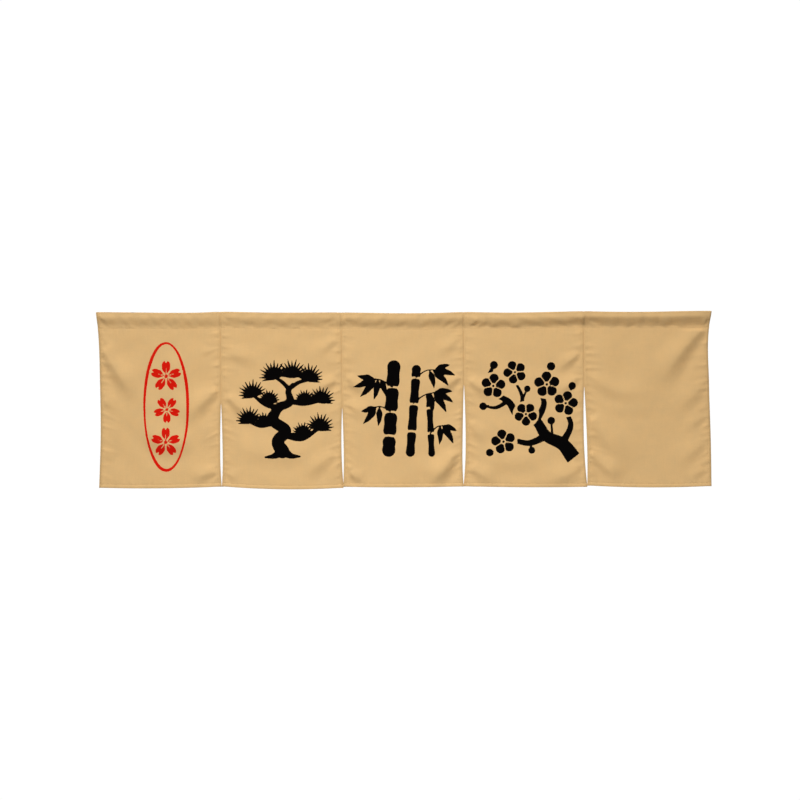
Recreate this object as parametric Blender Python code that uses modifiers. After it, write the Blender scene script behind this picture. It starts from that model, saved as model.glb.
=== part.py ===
"""A hung noren: a short shop-door curtain of five cloth panels side by side.

Each panel hangs from a rod sleeve along its top edge. Neighbouring panels are
sewn together for the upper two fifths of their height, and below that they part
in narrow slits. The origin is the middle of the top edge, +X runs to the right
as seen from the front, the front faces -Y, and +Z is up. The tables are in
millimetres, with depths counted downwards from the origin.
"""

import math
from collections import namedtuple

import bmesh
import bpy
import numpy as np
from mathutils import Vector
from mathutils.geometry import interpolate_bezier

MM = 0.001

# Driving dimensions, in millimetres
HALF_WIDTH = 850.0
SLEEVE_DEPTH = 45.0
SEAM_LIP = 4.0
SLEEVE_BULGE = 15.5
SLEEVE_BELLY = 24.0
SLEEVE_LEAN_DEG = 40.0
SEWN_DEPTH = 205.0
HUNG_DEPTH = 484.0
CLOTH = 1.2
HEM_CLOTH = 2.0
SIDE_HEM = 9.0
BOTTOM_HEM = 12.0
HEM_STEP = 1.0
CLEARANCE = 0.3
LIP_FORWARD = CLOTH + 0.5 * CLEARANCE
TOP_SAG = 3.0
SEAM_LIFT = 0.8
SEAM_LIFT_REACH = 45.0
HEM_STIFFNESS = 16.0
SPINDLE_POWER = 0.8

# How finely the cloth is divided
PANEL_COLUMNS = 21
PANEL_ROWS = 26
SLEEVE_COLUMNS = 9
SLEEVE_CURVE_POINTS = 9
FOLD_STEPS = 24
GRID_DIGITS = 5

# Places of the outer edges and the seams across the width, at five depths
EDGE_DEPTHS = (0.0, SLEEVE_DEPTH, SEWN_DEPTH, 350.0, HUNG_DEPTH)
Edge = namedtuple("Edge", "name top foot sewn middle hem")
EDGES = (
    Edge("left_edge", -851.0, -847.0, -841.5, -841.0, -845.5),
    Edge("seam_1", -507.0, -506.0, -504.8, -503.8, -502.5),
    Edge("seam_2", -172.5, -171.8, -170.0, -169.0, -166.5),
    Edge("seam_3", 165.3, 166.0, 167.2, 167.4, 165.5),
    Edge("seam_4", 498.0, 498.6, 499.3, 502.5, 507.5),
    Edge("right_edge", 850.5, 844.8, 844.8, 849.0, 851.5),
)

# Where each slit opens, is widest and closes again, and its greatest width
Slit = namedtuple("Slit", "opens widest closes width")
SLITS = {
    1: Slit(250.0, 400.0, 478.0, 6.4),
    2: Slit(262.0, 385.0, 472.0, 6.2),
    3: Slit(200.0, 383.0, 478.0, 8.8),
    4: Slit(205.0, 358.0, 476.0, 8.4),
}

# Depth of each panel's hem at its left corner, its middle and its right corner,
# and how far the cloth there leans forward of the rod's plane
Panel = namedtuple("Panel", "number left middle right lean_left lean_middle lean_right")
PANELS = (
    Panel(1, 483.0, 485.5, 482.0, 2.0, -3.0, 3.0),
    Panel(2, 482.5, 489.0, 485.5, -2.0, 4.0, -1.0),
    Panel(3, 482.5, 484.8, 483.3, 3.0, -2.0, 2.0),
    Panel(4, 483.0, 484.8, 484.0, -3.0, 3.0, 1.0),
    Panel(5, 481.0, 486.5, 482.5, 2.0, -4.0, 5.0),
)

# Main folds. Each is a soft ridge along a curve through three points, given by
# their place across and their depth, and fades over a share of its length
Fold = namedtuple("Fold", "panel x0 d0 x1 d1 x2 d2 rise half_width fade_in fade_out")
FOLDS = (
    Fold(1, -827, 84, -785, 168, -726, 240, 4.2, 13, 0.12, 0.60),
    Fold(1, -836, 210, -812, 226, -780, 252, 2.0, 12, 0.20, 0.60),
    Fold(1, -522, 216, -566, 252, -604, 316, 3.8, 13, 0.12, 0.60),
    Fold(1, -820, 212, -659, 334, -521, 240, 3.8, 26, 0.35, 0.35),
    Fold(1, -514, 430, -556, 450, -606, 458, 3.0, 12, 0.15, 0.60),
    Fold(2, -493, 224, -450, 262, -388, 316, 3.8, 13, 0.12, 0.55),
    Fold(2, -182, 176, -226, 204, -282, 218, 3.2, 12, 0.12, 0.60),
    Fold(2, -488, 338, -355, 392, -200, 334, 3.4, 17, 0.30, 0.30),
    Fold(2, -196, 370, -236, 420, -290, 452, 3.0, 13, 0.15, 0.60),
    Fold(2, -184, 66, -214, 92, -250, 108, 2.0, 11, 0.15, 0.60),
    Fold(2, -493, 104, -450, 120, -386, 128, 2.0, 13, 0.20, 0.60),
    Fold(2, -490, 432, -470, 452, -442, 462, 2.2, 11, 0.20, 0.60),
    Fold(3, -159, 172, -126, 202, -78, 226, 3.2, 12, 0.12, 0.60),
    Fold(3, 154, 175, 118, 202, 74, 214, 3.2, 12, 0.12, 0.60),
    Fold(3, 130, 392, 104, 436, 64, 468, 4.2, 12, 0.15, 0.50),
    Fold(3, -157, 240, -130, 268, -90, 290, 2.4, 12, 0.15, 0.60),
    Fold(3, 154, 60, 122, 92, 80, 108, 2.0, 12, 0.15, 0.60),
    Fold(3, -156, 414, -138, 446, -112, 466, 2.4, 11, 0.15, 0.60),
    Fold(4, 178, 180, 214, 208, 260, 224, 3.4, 12, 0.12, 0.60),
    Fold(4, 486, 107, 456, 134, 412, 154, 3.0, 11, 0.12, 0.60),
    Fold(4, 484, 174, 450, 204, 404, 220, 2.8, 12, 0.12, 0.60),
    Fold(4, 181, 298, 208, 332, 250, 358, 3.2, 13, 0.12, 0.60),
    Fold(4, 490, 430, 448, 452, 388, 458, 3.0, 12, 0.15, 0.55),
    Fold(4, 184, 372, 289, 412, 436, 364, 2.8, 18, 0.30, 0.35),
    Fold(4, 180, 430, 204, 452, 234, 464, 2.2, 11, 0.20, 0.60),
    Fold(5, 826, 47, 733, 150, 668, 212, 5.0, 13, 0.08, 0.45),
    Fold(5, 514, 174, 584, 214, 700, 214, 3.6, 14, 0.12, 0.50),
    Fold(5, 566, 238, 681, 262, 828, 190, 3.0, 14, 0.35, 0.25),
    Fold(5, 518, 280, 600, 364, 672, 452, 4.0, 14, 0.12, 0.45),
    Fold(5, 522, 396, 556, 438, 600, 466, 4.0, 12, 0.12, 0.50),
    Fold(5, 834, 284, 796, 318, 748, 342, 3.0, 12, 0.12, 0.60),
    Fold(5, 835, 362, 800, 396, 748, 422, 3.0, 12, 0.12, 0.60),
    Fold(5, 838, 420, 818, 446, 782, 462, 2.2, 11, 0.15, 0.60),
)

CLOTH_COLOUR = (0.658, 0.434, 0.198, 1.0)
CLOTH_ROUGHNESS = 0.82


def smooth_step(value):
    """Eases a share from 0 to 1, level at both ends."""
    share = np.clip(value, 0.0, 1.0)
    return share * share * (3.0 - 2.0 * share)


def through(stations, values, at):
    """A smooth curve through the values at rising stations, read at a depth."""
    stations = np.asarray(stations, float)
    values = np.asarray(values, float)
    slopes = np.gradient(values, stations)
    at = np.clip(np.asarray(at, float), stations[0], stations[-1])
    index = np.clip(np.searchsorted(stations, at, side="right") - 1, 0, len(stations) - 2)
    span = stations[index + 1] - stations[index]
    share = (at - stations[index]) / span
    ease = share * share * (3.0 - 2.0 * share)
    leave = share * (1.0 - share) ** 2 * span * slopes[index]
    arrive = share * share * (share - 1.0) * span * slopes[index + 1]
    return values[index] * (1.0 - ease) + values[index + 1] * ease + leave + arrive


def edge_x(number, depth):
    """Where an outer edge or a seam lies across the width."""
    edge = EDGES[number]
    return through(EDGE_DEPTHS, edge[1:], depth)


def slit_width(number, depth):
    """How far the cloth on each side of a seam or slit stands apart."""
    if number not in SLITS:
        return np.zeros_like(depth)
    slit = SLITS[number]
    rising = (depth - slit.opens) / (slit.widest - slit.opens)
    falling = (slit.closes - depth) / (slit.closes - slit.widest)
    share = np.clip(np.minimum(rising, falling), 0.0, 1.0)
    spindle = np.sin(0.5 * math.pi * share) ** SPINDLE_POWER
    return CLEARANCE + slit.width * spindle


def panel_sides(panel, depth):
    """The places of a panel's left and right edges at a depth."""
    left = edge_x(panel.number - 1, depth) + 0.5 * slit_width(panel.number - 1, depth)
    right = edge_x(panel.number, depth) - 0.5 * slit_width(panel.number, depth)
    return left, right


def top_height(across):
    """Height of the sleeve's top line, which sags in the middle and lifts at seams."""
    height = TOP_SAG * (across / HALF_WIDTH) ** 2
    for edge in EDGES[1:-1]:
        nearness = np.clip(1.0 - np.abs(across - edge.top) / SEAM_LIFT_REACH, 0.0, 1.0)
        height = height + SEAM_LIFT * smooth_step(nearness)
    return height


def three_point(left, middle, right, share):
    """A parabola through its left end, its middle and its right end."""
    left_part = left * (1.0 - share) * (1.0 - 2.0 * share)
    middle_part = middle * 4.0 * share * (1.0 - share)
    right_part = right * share * (2.0 * share - 1.0)
    return left_part + middle_part + right_part


def fold_path(fold):
    """Points along a fold's crest, on a parabola through its three places."""
    start = np.array((fold.x0, fold.d0), float)
    middle = np.array((fold.x1, fold.d1), float)
    end = np.array((fold.x2, fold.d2), float)
    share = np.linspace(0.0, 1.0, FOLD_STEPS)[:, None]
    return three_point(start, middle, end, share)


def fold_rise(fold, across, depth):
    """How far one fold lifts the cloth towards the front."""
    path = fold_path(fold)
    nearest = np.full(across.shape, np.inf)
    along = np.zeros(across.shape)
    for step in range(len(path) - 1):
        run = path[step + 1] - path[step]
        offset_x = across - path[step, 0]
        offset_d = depth - path[step, 1]
        share = np.clip((offset_x * run[0] + offset_d * run[1]) / (run @ run), 0.0, 1.0)
        away = np.hypot(offset_x - share * run[0], offset_d - share * run[1])
        closer = away < nearest
        nearest = np.where(closer, away, nearest)
        along = np.where(closer, (step + share) / (len(path) - 1), along)
    fading = smooth_step(along / fold.fade_in) * smooth_step((1.0 - along) / fold.fade_out)
    return fold.rise * fading * np.exp(-((nearest / fold.half_width) ** 2))


def cloth_forward(panel, share, across, depth, from_side):
    """How far forward of its place under the sleeve the cloth's front lies."""
    lean = three_point(panel.lean_left, panel.lean_middle, panel.lean_right, share)
    forward = lean * smooth_step((depth - SEWN_DEPTH) / (HUNG_DEPTH - SEWN_DEPTH))
    folds = np.zeros_like(across)
    for fold in FOLDS:
        if fold.panel == panel.number:
            folds = folds + fold_rise(fold, across, depth)
    return forward + folds * smooth_step(from_side / HEM_STIFFNESS)


def cloth_material():
    """The woven cloth's plain colour and finish."""
    material = bpy.data.materials.new("noren_cloth")
    material.use_nodes = True
    shader = material.node_tree.nodes["Principled BSDF"]
    shader.inputs["Base Color"].default_value = CLOTH_COLOUR
    shader.inputs["Roughness"].default_value = CLOTH_ROUGHNESS
    shader.inputs["Metallic"].default_value = 0.0
    return material


def unit_grid(name, columns, rows):
    """A flat grid object, and the column and row of each of its vertices."""
    mesh = bpy.data.meshes.new(name)
    shape = bmesh.new()
    bmesh.ops.create_grid(shape, x_segments=columns, y_segments=rows, size=0.5)
    shape.to_mesh(mesh)
    shape.free()
    corners = np.array([vertex.co[:2] for vertex in mesh.vertices])
    column = np.unique(np.round(corners[:, 0], GRID_DIGITS), return_inverse=True)[1]
    row = np.unique(np.round(-corners[:, 1], GRID_DIGITS), return_inverse=True)[1]
    return bpy.data.objects.new(name, mesh), column, row


def place_vertices(obj, across, forward, height):
    """Moves a grid's vertices to their places, given in millimetres."""
    points = np.stack((across, -forward, height), axis=1) * MM
    obj.data.vertices.foreach_set("co", points.ravel())
    obj.data.update()


def face_forward(obj, outward):
    """Turns the open sheet so that its normals agree with the outward direction."""
    obj.data.update()
    agreement = sum(face.normal.dot(outward(face.center)) for face in obj.data.polygons)
    if agreement < 0:
        obj.data.flip_normals()


def thicken(obj, thickness, hem_vertices=(), plain_share=1.0):
    """Gives the sheet its thickness behind the front face, more along its hems."""
    solidify = obj.modifiers.new("cloth_thickness", "SOLIDIFY")
    solidify.thickness = thickness * MM
    solidify.offset = -1.0
    solidify.use_even_offset = True
    if len(hem_vertices):
        hem = obj.vertex_groups.new(name="hem")
        hem.add([int(index) for index in hem_vertices], 1.0, "REPLACE")
        solidify.vertex_group = "hem"
        solidify.thickness_vertex_group = plain_share


def finish_node(obj, collection, material):
    """Dresses a finished cloth object and files it with the others."""
    obj.data.materials.append(material)
    collection.objects.link(obj)
    obj.data.shade_smooth()


def stations(count, start_steps, end_steps):
    """Where the divisions of a length fall, as shares of it plus set distances.

    The steps are distances in from each end at which a division has to fall, and
    the rest of the divisions are spread evenly between the last of them.
    """
    even = np.linspace(0.0, 1.0, count + 1 - len(start_steps) - len(end_steps))
    first = max(start_steps, default=0.0)
    last = max(end_steps, default=0.0)
    lead = [0.0, *start_steps][:-1]
    tail = [0.0, *end_steps][:-1]
    share = np.concatenate((np.zeros(len(lead)), even, np.ones(len(tail))))
    offset = np.concatenate((lead, first * (1.0 - even) - last * even, -np.array(tail[::-1])))
    return share, offset


def place_across(panel, depth, share, offset):
    """Places across the panel at a depth, and how far in from its side edges."""
    left, right = panel_sides(panel, depth)
    across = left + share * (right - left) + offset
    return across, np.minimum(across - left, right - across)


def build_panel(panel, collection, material):
    """One hanging panel, from under its sleeve to its bottom hem."""
    obj, column, row = unit_grid(f"panel_{panel.number}", PANEL_COLUMNS, PANEL_ROWS)
    side_steps = (SIDE_HEM, SIDE_HEM + HEM_STEP)
    column_share, column_offset = stations(PANEL_COLUMNS, side_steps, side_steps)
    bottom_steps = (BOTTOM_HEM, BOTTOM_HEM + HEM_STEP)
    row_share, row_offset = stations(PANEL_ROWS, (), bottom_steps)
    share = column_share[column]
    offset = column_offset[column]

    under_sleeve = np.full(share.shape, SLEEVE_DEPTH)
    top_across = place_across(panel, under_sleeve, share, offset)[0]
    top_depth = SLEEVE_DEPTH + CLEARANCE - top_height(top_across)
    hem_depth = three_point(panel.left, panel.middle, panel.right, share)
    depth = top_depth + row_share[row] * (hem_depth - top_depth) + row_offset[row]
    across, from_side = place_across(panel, depth, share, offset)
    forward = LIP_FORWARD + cloth_forward(panel, share, across, depth, from_side)
    place_vertices(obj, across, forward, -depth)
    face_forward(obj, lambda center: Vector((0.0, -1.0, 0.0)))

    in_side_hem = from_side < SIDE_HEM + 0.5 * HEM_STEP
    in_bottom_hem = hem_depth - depth < BOTTOM_HEM + 0.5 * HEM_STEP
    thicken(obj, HEM_CLOTH, np.flatnonzero(in_side_hem | in_bottom_hem), CLOTH / HEM_CLOTH)
    finish_node(obj, collection, material)


def sleeve_profile():
    """Forward and height places round a sleeve, from its front lip to its back lip.

    The cloth rises from the stitched lip, leans out to a belly that fills with
    the rod, and turns over the top. The back half mirrors the front half.
    """
    lean = math.radians(SLEEVE_LEAN_DEG)
    foot = Vector((LIP_FORWARD, -SLEEVE_DEPTH + SEAM_LIP))
    lift = foot + SLEEVE_BELLY * Vector((math.sin(lean), math.cos(lean)))
    curve = interpolate_bezier(foot, lift, Vector((SLEEVE_BULGE, 0.0)), Vector((0.0, 0.0)),
                               SLEEVE_CURVE_POINTS)
    front = [(LIP_FORWARD, -SLEEVE_DEPTH)] + [(point[0], point[1]) for point in curve]
    back = [(-forward, height) for forward, height in reversed(front[:-1])]
    return np.array(front + back)


def build_sleeve(panel, collection, material):
    """One panel's rod sleeve, open at both ends and closed at its stitched lip."""
    profile = sleeve_profile()
    around = len(profile) - 1
    obj, column, row = unit_grid(f"sleeve_{panel.number}", SLEEVE_COLUMNS, around)
    forward = profile[row, 0]
    height = profile[row, 1]
    left, right = panel_sides(panel, -height)
    across = left + column / SLEEVE_COLUMNS * (right - left)
    place_vertices(obj, across, forward, height + top_height(across))
    axis_height = -0.5 * SLEEVE_BULGE * MM
    face_forward(obj, lambda center: Vector((0.0, center.y, center.z - axis_height)))
    thicken(obj, CLOTH)
    finish_node(obj, collection, material)


def main():
    """Clears the scene and builds the sleeves and the panels."""
    for obj in list(bpy.data.objects):
        bpy.data.objects.remove(obj)
    collection = bpy.data.collections.new("noren")
    bpy.context.scene.collection.children.link(collection)
    material = cloth_material()
    for panel in PANELS:
        build_sleeve(panel, collection, material)
        build_panel(panel, collection, material)


main()
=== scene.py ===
"""Dresses the noren: its cloth, hems, seams, folds, stitching and prints.

The cloth of each panel is one strip, from its turned edge behind the rod sleeve,
over the top and down to the bottom hem. Sizes are millimetres unless a name says
otherwise. Depths count downwards from the top edge, "across" runs to the right
as seen from the front, and "forward" runs towards the viewer.
"""

import logging
import math
from dataclasses import dataclass, field
from enum import Enum

import bpy
import numpy as np
from mathutils import Matrix, Vector


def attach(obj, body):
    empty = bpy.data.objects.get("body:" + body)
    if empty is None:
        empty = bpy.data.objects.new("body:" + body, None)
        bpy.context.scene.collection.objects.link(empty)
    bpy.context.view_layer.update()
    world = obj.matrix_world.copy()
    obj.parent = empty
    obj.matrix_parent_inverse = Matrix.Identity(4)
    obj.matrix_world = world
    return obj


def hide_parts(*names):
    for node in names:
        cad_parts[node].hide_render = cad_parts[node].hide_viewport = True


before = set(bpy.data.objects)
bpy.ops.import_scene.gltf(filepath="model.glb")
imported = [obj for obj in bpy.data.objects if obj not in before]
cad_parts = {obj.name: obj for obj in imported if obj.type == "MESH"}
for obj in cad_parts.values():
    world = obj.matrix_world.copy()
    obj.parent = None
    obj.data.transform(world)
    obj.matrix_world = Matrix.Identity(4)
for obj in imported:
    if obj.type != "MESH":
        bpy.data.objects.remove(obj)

LOG = logging.getLogger("noren")
MM = 0.001

PANEL_WIDTH = 340.0
SLEEVE_DEPTH = 45.0
SEWN_DEPTH = 205.0
HUNG_DEPTH = 484.0
TOP_LINE = (
    (-849, 2.2), (-790, 1.6), (-728, 0.9), (-645, -0.1), (-562, 0.4), (-506, 2.5), (-452, 1.7),
    (-369, 0.1), (-286, -0.2), (-231, 0.1), (-172, 0.0), (-120, -0.7), (-10, -2.4), (46, -2.3),
    (101, -1.5), (166, 0.6), (211, -0.1), (294, -1.3), (377, -0.2), (433, 1.0), (498, 2.1),
    (543, 1.0), (600, 0.2), (654, 0.1), (709, 0.6), (764, 1.7), (851, 2.6),
)
SPINDLE_POWER = 0.8
SEAM_OVERLAP = 0.12
HEM_STIFFNESS = 16.0
FOLD_STEPS = 24

CLOTH = 0.8
HEM_CLOTH = 1.8
EDGE_RADIUS = 0.8
SIDE_STITCH = 9.0
BOTTOM_STITCH = 10.0
STITCH_DIP = 0.38
STITCH_DIP_REACH = 1.4
LIP_STITCH_RISE = 0.2
ROLL_DEPTH = 1.0
ROLL_REACH = 2.2
SEAM_VALLEY = 0.36
SEAM_ROLL_LOSS = 0.6
SEAM_VALLEY_REACH = 6.0
HEM_BULGE = 0.9
HEM_CREST_POWER = 0.7

TAIL = 2.6
TAIL_STEPS = (TAIL, 2.2, 1.2)
TURNED_EDGE = 12.0
SLEEVE_POINTS = 46
SLEEVE_SWELL = 0.03
SLEEVE_SWELL_LENGTH = 46.0
FRONT_LIP = 0.85
BACK_LIP = 1.8
SLEEVE_SIDE = (
    (0.0, -45.0), (0.0, -42.8), (0.1, -41.5), (0.5, -39.3), (1.2, -36.6), (2.2, -33.4),
    (3.45, -30.2), (4.8, -27.0), (6.15, -23.6), (7.25, -20.6), (8.05, -18.0), (8.6, -15.6),
    (8.88, -13.4), (8.9, -11.4), (8.78, -8.8), (8.55, -6.0), (8.2, -3.6), (7.6, -1.8),
    (6.2, -0.7), (3.8, -0.1), (0.0, 0.0),
)
SLEEVE_FULLNESS = {
    1: (1.06, 1.06), 2: (1.08, 1.08), 3: (1.22, 1.32), 4: (1.20, 1.80), 5: (1.80, 1.80),
}
SEAM_FULLNESS = (0.80, 0.66, 0.92, 1.00, 2.00, 1.10)
SEAM_FULLNESS_REACH = 26.0
FRONT_START = 2.0
SLEEVE_DROP = {1: 1.6, 2: 1.8, 3: 2.0, 4: 1.4, 5: -0.6}
DROP_REACH = 15.0
TUCK_DIP = 0.7
TUCK_REACH = 1.4
TUCK_HALF = 13.0
LIP_ROOM = 0.7
PRESSED_ROOM = 1.0

FOLD_ABOVE = 1.55
FOLD_BELOW = 0.9
FOLD_FULLNESS = 1.7
FOLD_SOFT_START = 1.8
FOLD_LATEST_START = 0.4
FOLD_SPREAD_FROM = 0.3
FOLD_SPREAD = (0.62, 1.0)
FOLD_TROUGH = 0.26
TROUGH_PLACE = 2.0
TROUGH_WIDTH = 0.8
FOLD_ANCHOR = 9.0

UNEVEN_WAVES = 9
UNEVEN_LENGTH = (60.0, 190.0)
UNEVEN_RISE = 0.34
UNEVEN_START = 40.0
SLEEVE_UNEVENNESS = 0.65
SLEEVE_WAVE_RATE = 3.0
SLEEVE_FACE = 1.3 * SLEEVE_DEPTH
SLEEVE_FACE_FADE = (5.0, 6.0)
HEM_PUCKER_REACH = 6.0
PUCKER_START = 12.0
TOP_PUCKER_HEIGHT = 16.0
TOP_PUCKER_FADE = 2.0
LIFT_FADE = 3.0
SEAM_FADE = 12.0

# Painted shade in the cloth's colour along the outer edges, the slits and the sewn seams, a little
# in from each edge.
END_SHADES = (0.23, 0.16)
SLIT_SHADE = 0.15
SEAM_SHADE = 0.07
SHADE_INSET = 2.8
SHADE_REACH = 3.2
# Painted shadow of the tuck where each sewn seam meets the sleeve's stitch line.
TUCK_SHADE = 0.13
TUCK_SHADE_DEPTH = (8.0, 6.0)
TUCK_SHADE_REACH = 4.0
# Painted shade along a crease across the sleeve's front, just below its top.
CREASE_SHADE = 0.10
CREASE_REACH = 3.0
FRONT_CREASE = 9.5


@dataclass(frozen=True)
class Edge:
    """Where an outer edge or a seam lies across, at five depths down the cloth."""

    top: float
    foot: float
    sewn: float
    middle: float
    hem: float


@dataclass(frozen=True)
class Slit:
    """Where a slit opens, is widest and closes again, and its greatest width."""

    opens: float
    widest: float
    closes: float
    width: float


@dataclass(frozen=True)
class PanelShape:
    """A panel's hem depths and how far its hem leans forward, left to right."""

    number: int
    left: float
    middle: float
    right: float
    lean_left: float
    lean_middle: float
    lean_right: float


@dataclass(frozen=True)
class Fold:
    """A soft ridge along a curve through three places, each across and down."""

    panel: int
    x0: float
    d0: float
    x1: float
    d1: float
    x2: float
    d2: float
    rise: float
    half_width: float
    fade_in: float
    fade_out: float


EDGE_DEPTHS = (0.0, SLEEVE_DEPTH, SEWN_DEPTH, 350.0, HUNG_DEPTH)
EDGES = (
    Edge(-849.3, -844.6, -838.6, -837.3, -841.4),
    Edge(-507.0, -506.0, -504.8, -503.8, -502.5),
    Edge(-172.5, -171.8, -170.0, -169.0, -166.5),
    Edge(165.3, 166.0, 167.2, 167.4, 165.5),
    Edge(498.0, 498.6, 499.3, 502.5, 507.5),
    Edge(851.3, 844.8, 844.8, 848.8, 850.4),
)
SLITS = {
    1: Slit(250.0, 400.0, 478.0, 6.4),
    2: Slit(262.0, 385.0, 472.0, 6.2),
    3: Slit(200.0, 383.0, 478.0, 8.8),
    4: Slit(205.0, 358.0, 476.0, 8.4),
}
PANELS = (
    PanelShape(1, 483.8, 485.5, 481.2, 2.0, -3.0, 3.0),
    PanelShape(2, 481.2, 488.4, 485.3, -2.0, 4.0, -1.0),
    PanelShape(3, 482.2, 483.9, 481.8, 3.0, -2.0, 2.0),
    PanelShape(4, 481.8, 484.0, 483.5, -3.0, 3.0, 1.0),
    PanelShape(5, 480.1, 485.4, 481.9, 2.0, -4.0, 5.0),
)
FOLDS = (
    Fold(1, -832, 88, -788, 162, -718, 254, 5.4, 17, 0.08, 0.50),
    Fold(1, -834, 60, -812, 92, -780, 124, 1.4, 9, 0.12, 0.60),
    Fold(1, -836, 236, -816, 248, -792, 264, 1.4, 9, 0.15, 0.60),
    Fold(1, -836, 380, -814, 392, -790, 404, 1.3, 9, 0.15, 0.60),
    Fold(1, -510, 212, -556, 246, -616, 314, 4.8, 16, 0.08, 0.50),
    Fold(1, -514, 100, -540, 107, -568, 110, 1.3, 7, 0.20, 0.50),
    Fold(1, -754, 232, -658, 362, -590, 300, 3.9, 26, 0.35, 0.35),
    Fold(1, -513, 434, -552, 446, -594, 462, 3.0, 12, 0.12, 0.50),
    Fold(2, -493, 224, -450, 262, -388, 316, 3.8, 13, 0.12, 0.55),
    Fold(2, -182, 176, -226, 204, -282, 218, 3.2, 12, 0.12, 0.60),
    Fold(2, -488, 338, -355, 392, -200, 334, 2.2, 24, 0.35, 0.35),
    Fold(2, -188, 384, -236, 418, -300, 462, 2.8, 16, 0.10, 0.50),
    Fold(2, -184, 66, -214, 92, -250, 108, 2.0, 11, 0.15, 0.60),
    Fold(2, -493, 104, -450, 120, -386, 128, 2.0, 13, 0.20, 0.60),
    Fold(2, -490, 432, -470, 452, -442, 462, 2.2, 11, 0.20, 0.60),
    Fold(3, -159, 172, -126, 202, -78, 226, 3.2, 12, 0.12, 0.60),
    Fold(3, 156, 172, 118, 200, 66, 218, 3.8, 13, 0.10, 0.60),
    Fold(3, 146, 372, 108, 432, 52, 472, 6.2, 17, 0.12, 0.45),
    Fold(3, -152, 440, -126, 456, -96, 466, 2.4, 10, 0.12, 0.55),
    Fold(3, -157, 240, -130, 268, -90, 290, 2.4, 12, 0.15, 0.60),
    Fold(3, 154, 60, 122, 92, 80, 108, 2.0, 12, 0.15, 0.60),
    Fold(3, -156, 414, -138, 446, -112, 466, 2.4, 11, 0.15, 0.60),
    Fold(4, 178, 180, 214, 208, 260, 224, 3.4, 12, 0.12, 0.60),
    Fold(4, 486, 107, 456, 134, 412, 154, 3.0, 11, 0.12, 0.60),
    Fold(4, 484, 174, 450, 204, 404, 220, 2.8, 12, 0.12, 0.60),
    Fold(4, 181, 298, 208, 332, 250, 358, 3.2, 13, 0.12, 0.60),
    Fold(4, 492, 418, 446, 450, 372, 464, 3.0, 16, 0.10, 0.50),
    Fold(4, 184, 372, 289, 412, 436, 364, 1.9, 24, 0.35, 0.35),
    Fold(4, 180, 416, 220, 448, 272, 462, 3.8, 14, 0.12, 0.55),
    Fold(5, 830, 40, 758, 118, 686, 218, 5.8, 20, 0.05, 0.52),
    Fold(5, 512, 162, 596, 218, 708, 202, 2.9, 18, 0.10, 0.45),
    Fold(5, 560, 242, 626, 262, 712, 252, 1.7, 20, 0.35, 0.35),
    Fold(5, 834, 188, 792, 234, 728, 278, 2.1, 15, 0.12, 0.55),
    Fold(5, 834, 284, 806, 303, 770, 322, 1.3, 10, 0.15, 0.55),
    Fold(5, 834, 354, 790, 388, 732, 424, 2.2, 16, 0.12, 0.55),
    Fold(5, 834, 430, 808, 446, 774, 462, 1.4, 11, 0.15, 0.55),
    Fold(5, 512, 288, 566, 352, 630, 448, 5.6, 22, 0.08, 0.52),
    Fold(5, 510, 386, 554, 422, 608, 470, 4.4, 13, 0.08, 0.40),
)
SLEEVE_CREASES = (
    Fold(1, -842, 8, -828, 18, -806, 32, 1.5, 6, 0.05, 0.60),
    Fold(2, -498, 18, -482, 25, -462, 34, -0.5, 5, 0.10, 0.50),
    Fold(2, -224, 34, -204, 26, -184, 21, -0.7, 5, 0.25, 0.20),
    Fold(3, 112, 38, 132, 30, 152, 22, -0.8, 6, 0.40, 0.10),
    Fold(3, -162, 22, -150, 27, -134, 34, -0.7, 5, 0.10, 0.50),
    Fold(4, 180, 38, 193, 28, 206, 14, 1.2, 5, 0.25, 0.30),
    Fold(4, 206, 42, 216, 30, 231, 17, 0.7, 6, 0.25, 0.45),
    Fold(4, 236, 40, 250, 31, 272, 23, 1.0, 8, 0.25, 0.50),
    Fold(4, 294, 43, 308, 35, 334, 25, 0.8, 6, 0.20, 0.55),
    Fold(4, 446, 28, 464, 34, 486, 37, -0.7, 5, 0.25, 0.20),
    Fold(5, 512, 24, 528, 29, 548, 38, -0.9, 5, 0.10, 0.50),
    Fold(5, 612, 40, 626, 31, 644, 22, 0.7, 8, 0.35, 0.40),
    Fold(5, 706, 38, 722, 30, 744, 22, 0.7, 8, 0.35, 0.40),
    Fold(5, 822, 40, 832, 28, 840, 14, 1.1, 5, 0.30, 0.30),
)


def smooth_step(value: np.ndarray) -> np.ndarray:
    """Eases a share from 0 to 1, level at both ends."""
    share = np.clip(value, 0.0, 1.0)
    return share * share * (3.0 - 2.0 * share)


def bell(value: np.ndarray) -> np.ndarray:
    """A rounded bump of height 1 about zero."""
    return np.exp(-(value * value))


def through(stations: tuple, values: tuple, at: np.ndarray) -> np.ndarray:
    """Reads a smooth curve through values that stand at rising stations.

    Args:
        stations: Where the values stand.
        values: The values to pass through.
        at: Where the curve is read.

    Returns:
        The curve's values, held level beyond the first and last stations.
    """
    stations = np.asarray(stations, float)
    values = np.asarray(values, float)
    slopes = np.gradient(values, stations)
    at = np.clip(np.asarray(at, float), stations[0], stations[-1])
    index = np.clip(np.searchsorted(stations, at, side="right") - 1, 0, len(stations) - 2)
    span = stations[index + 1] - stations[index]
    share = (at - stations[index]) / span
    ease = share * share * (3.0 - 2.0 * share)
    leave = share * (1.0 - share) ** 2 * span * slopes[index]
    arrive = share * share * (share - 1.0) * span * slopes[index + 1]
    return values[index] * (1.0 - ease) + values[index + 1] * ease + leave + arrive


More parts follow.
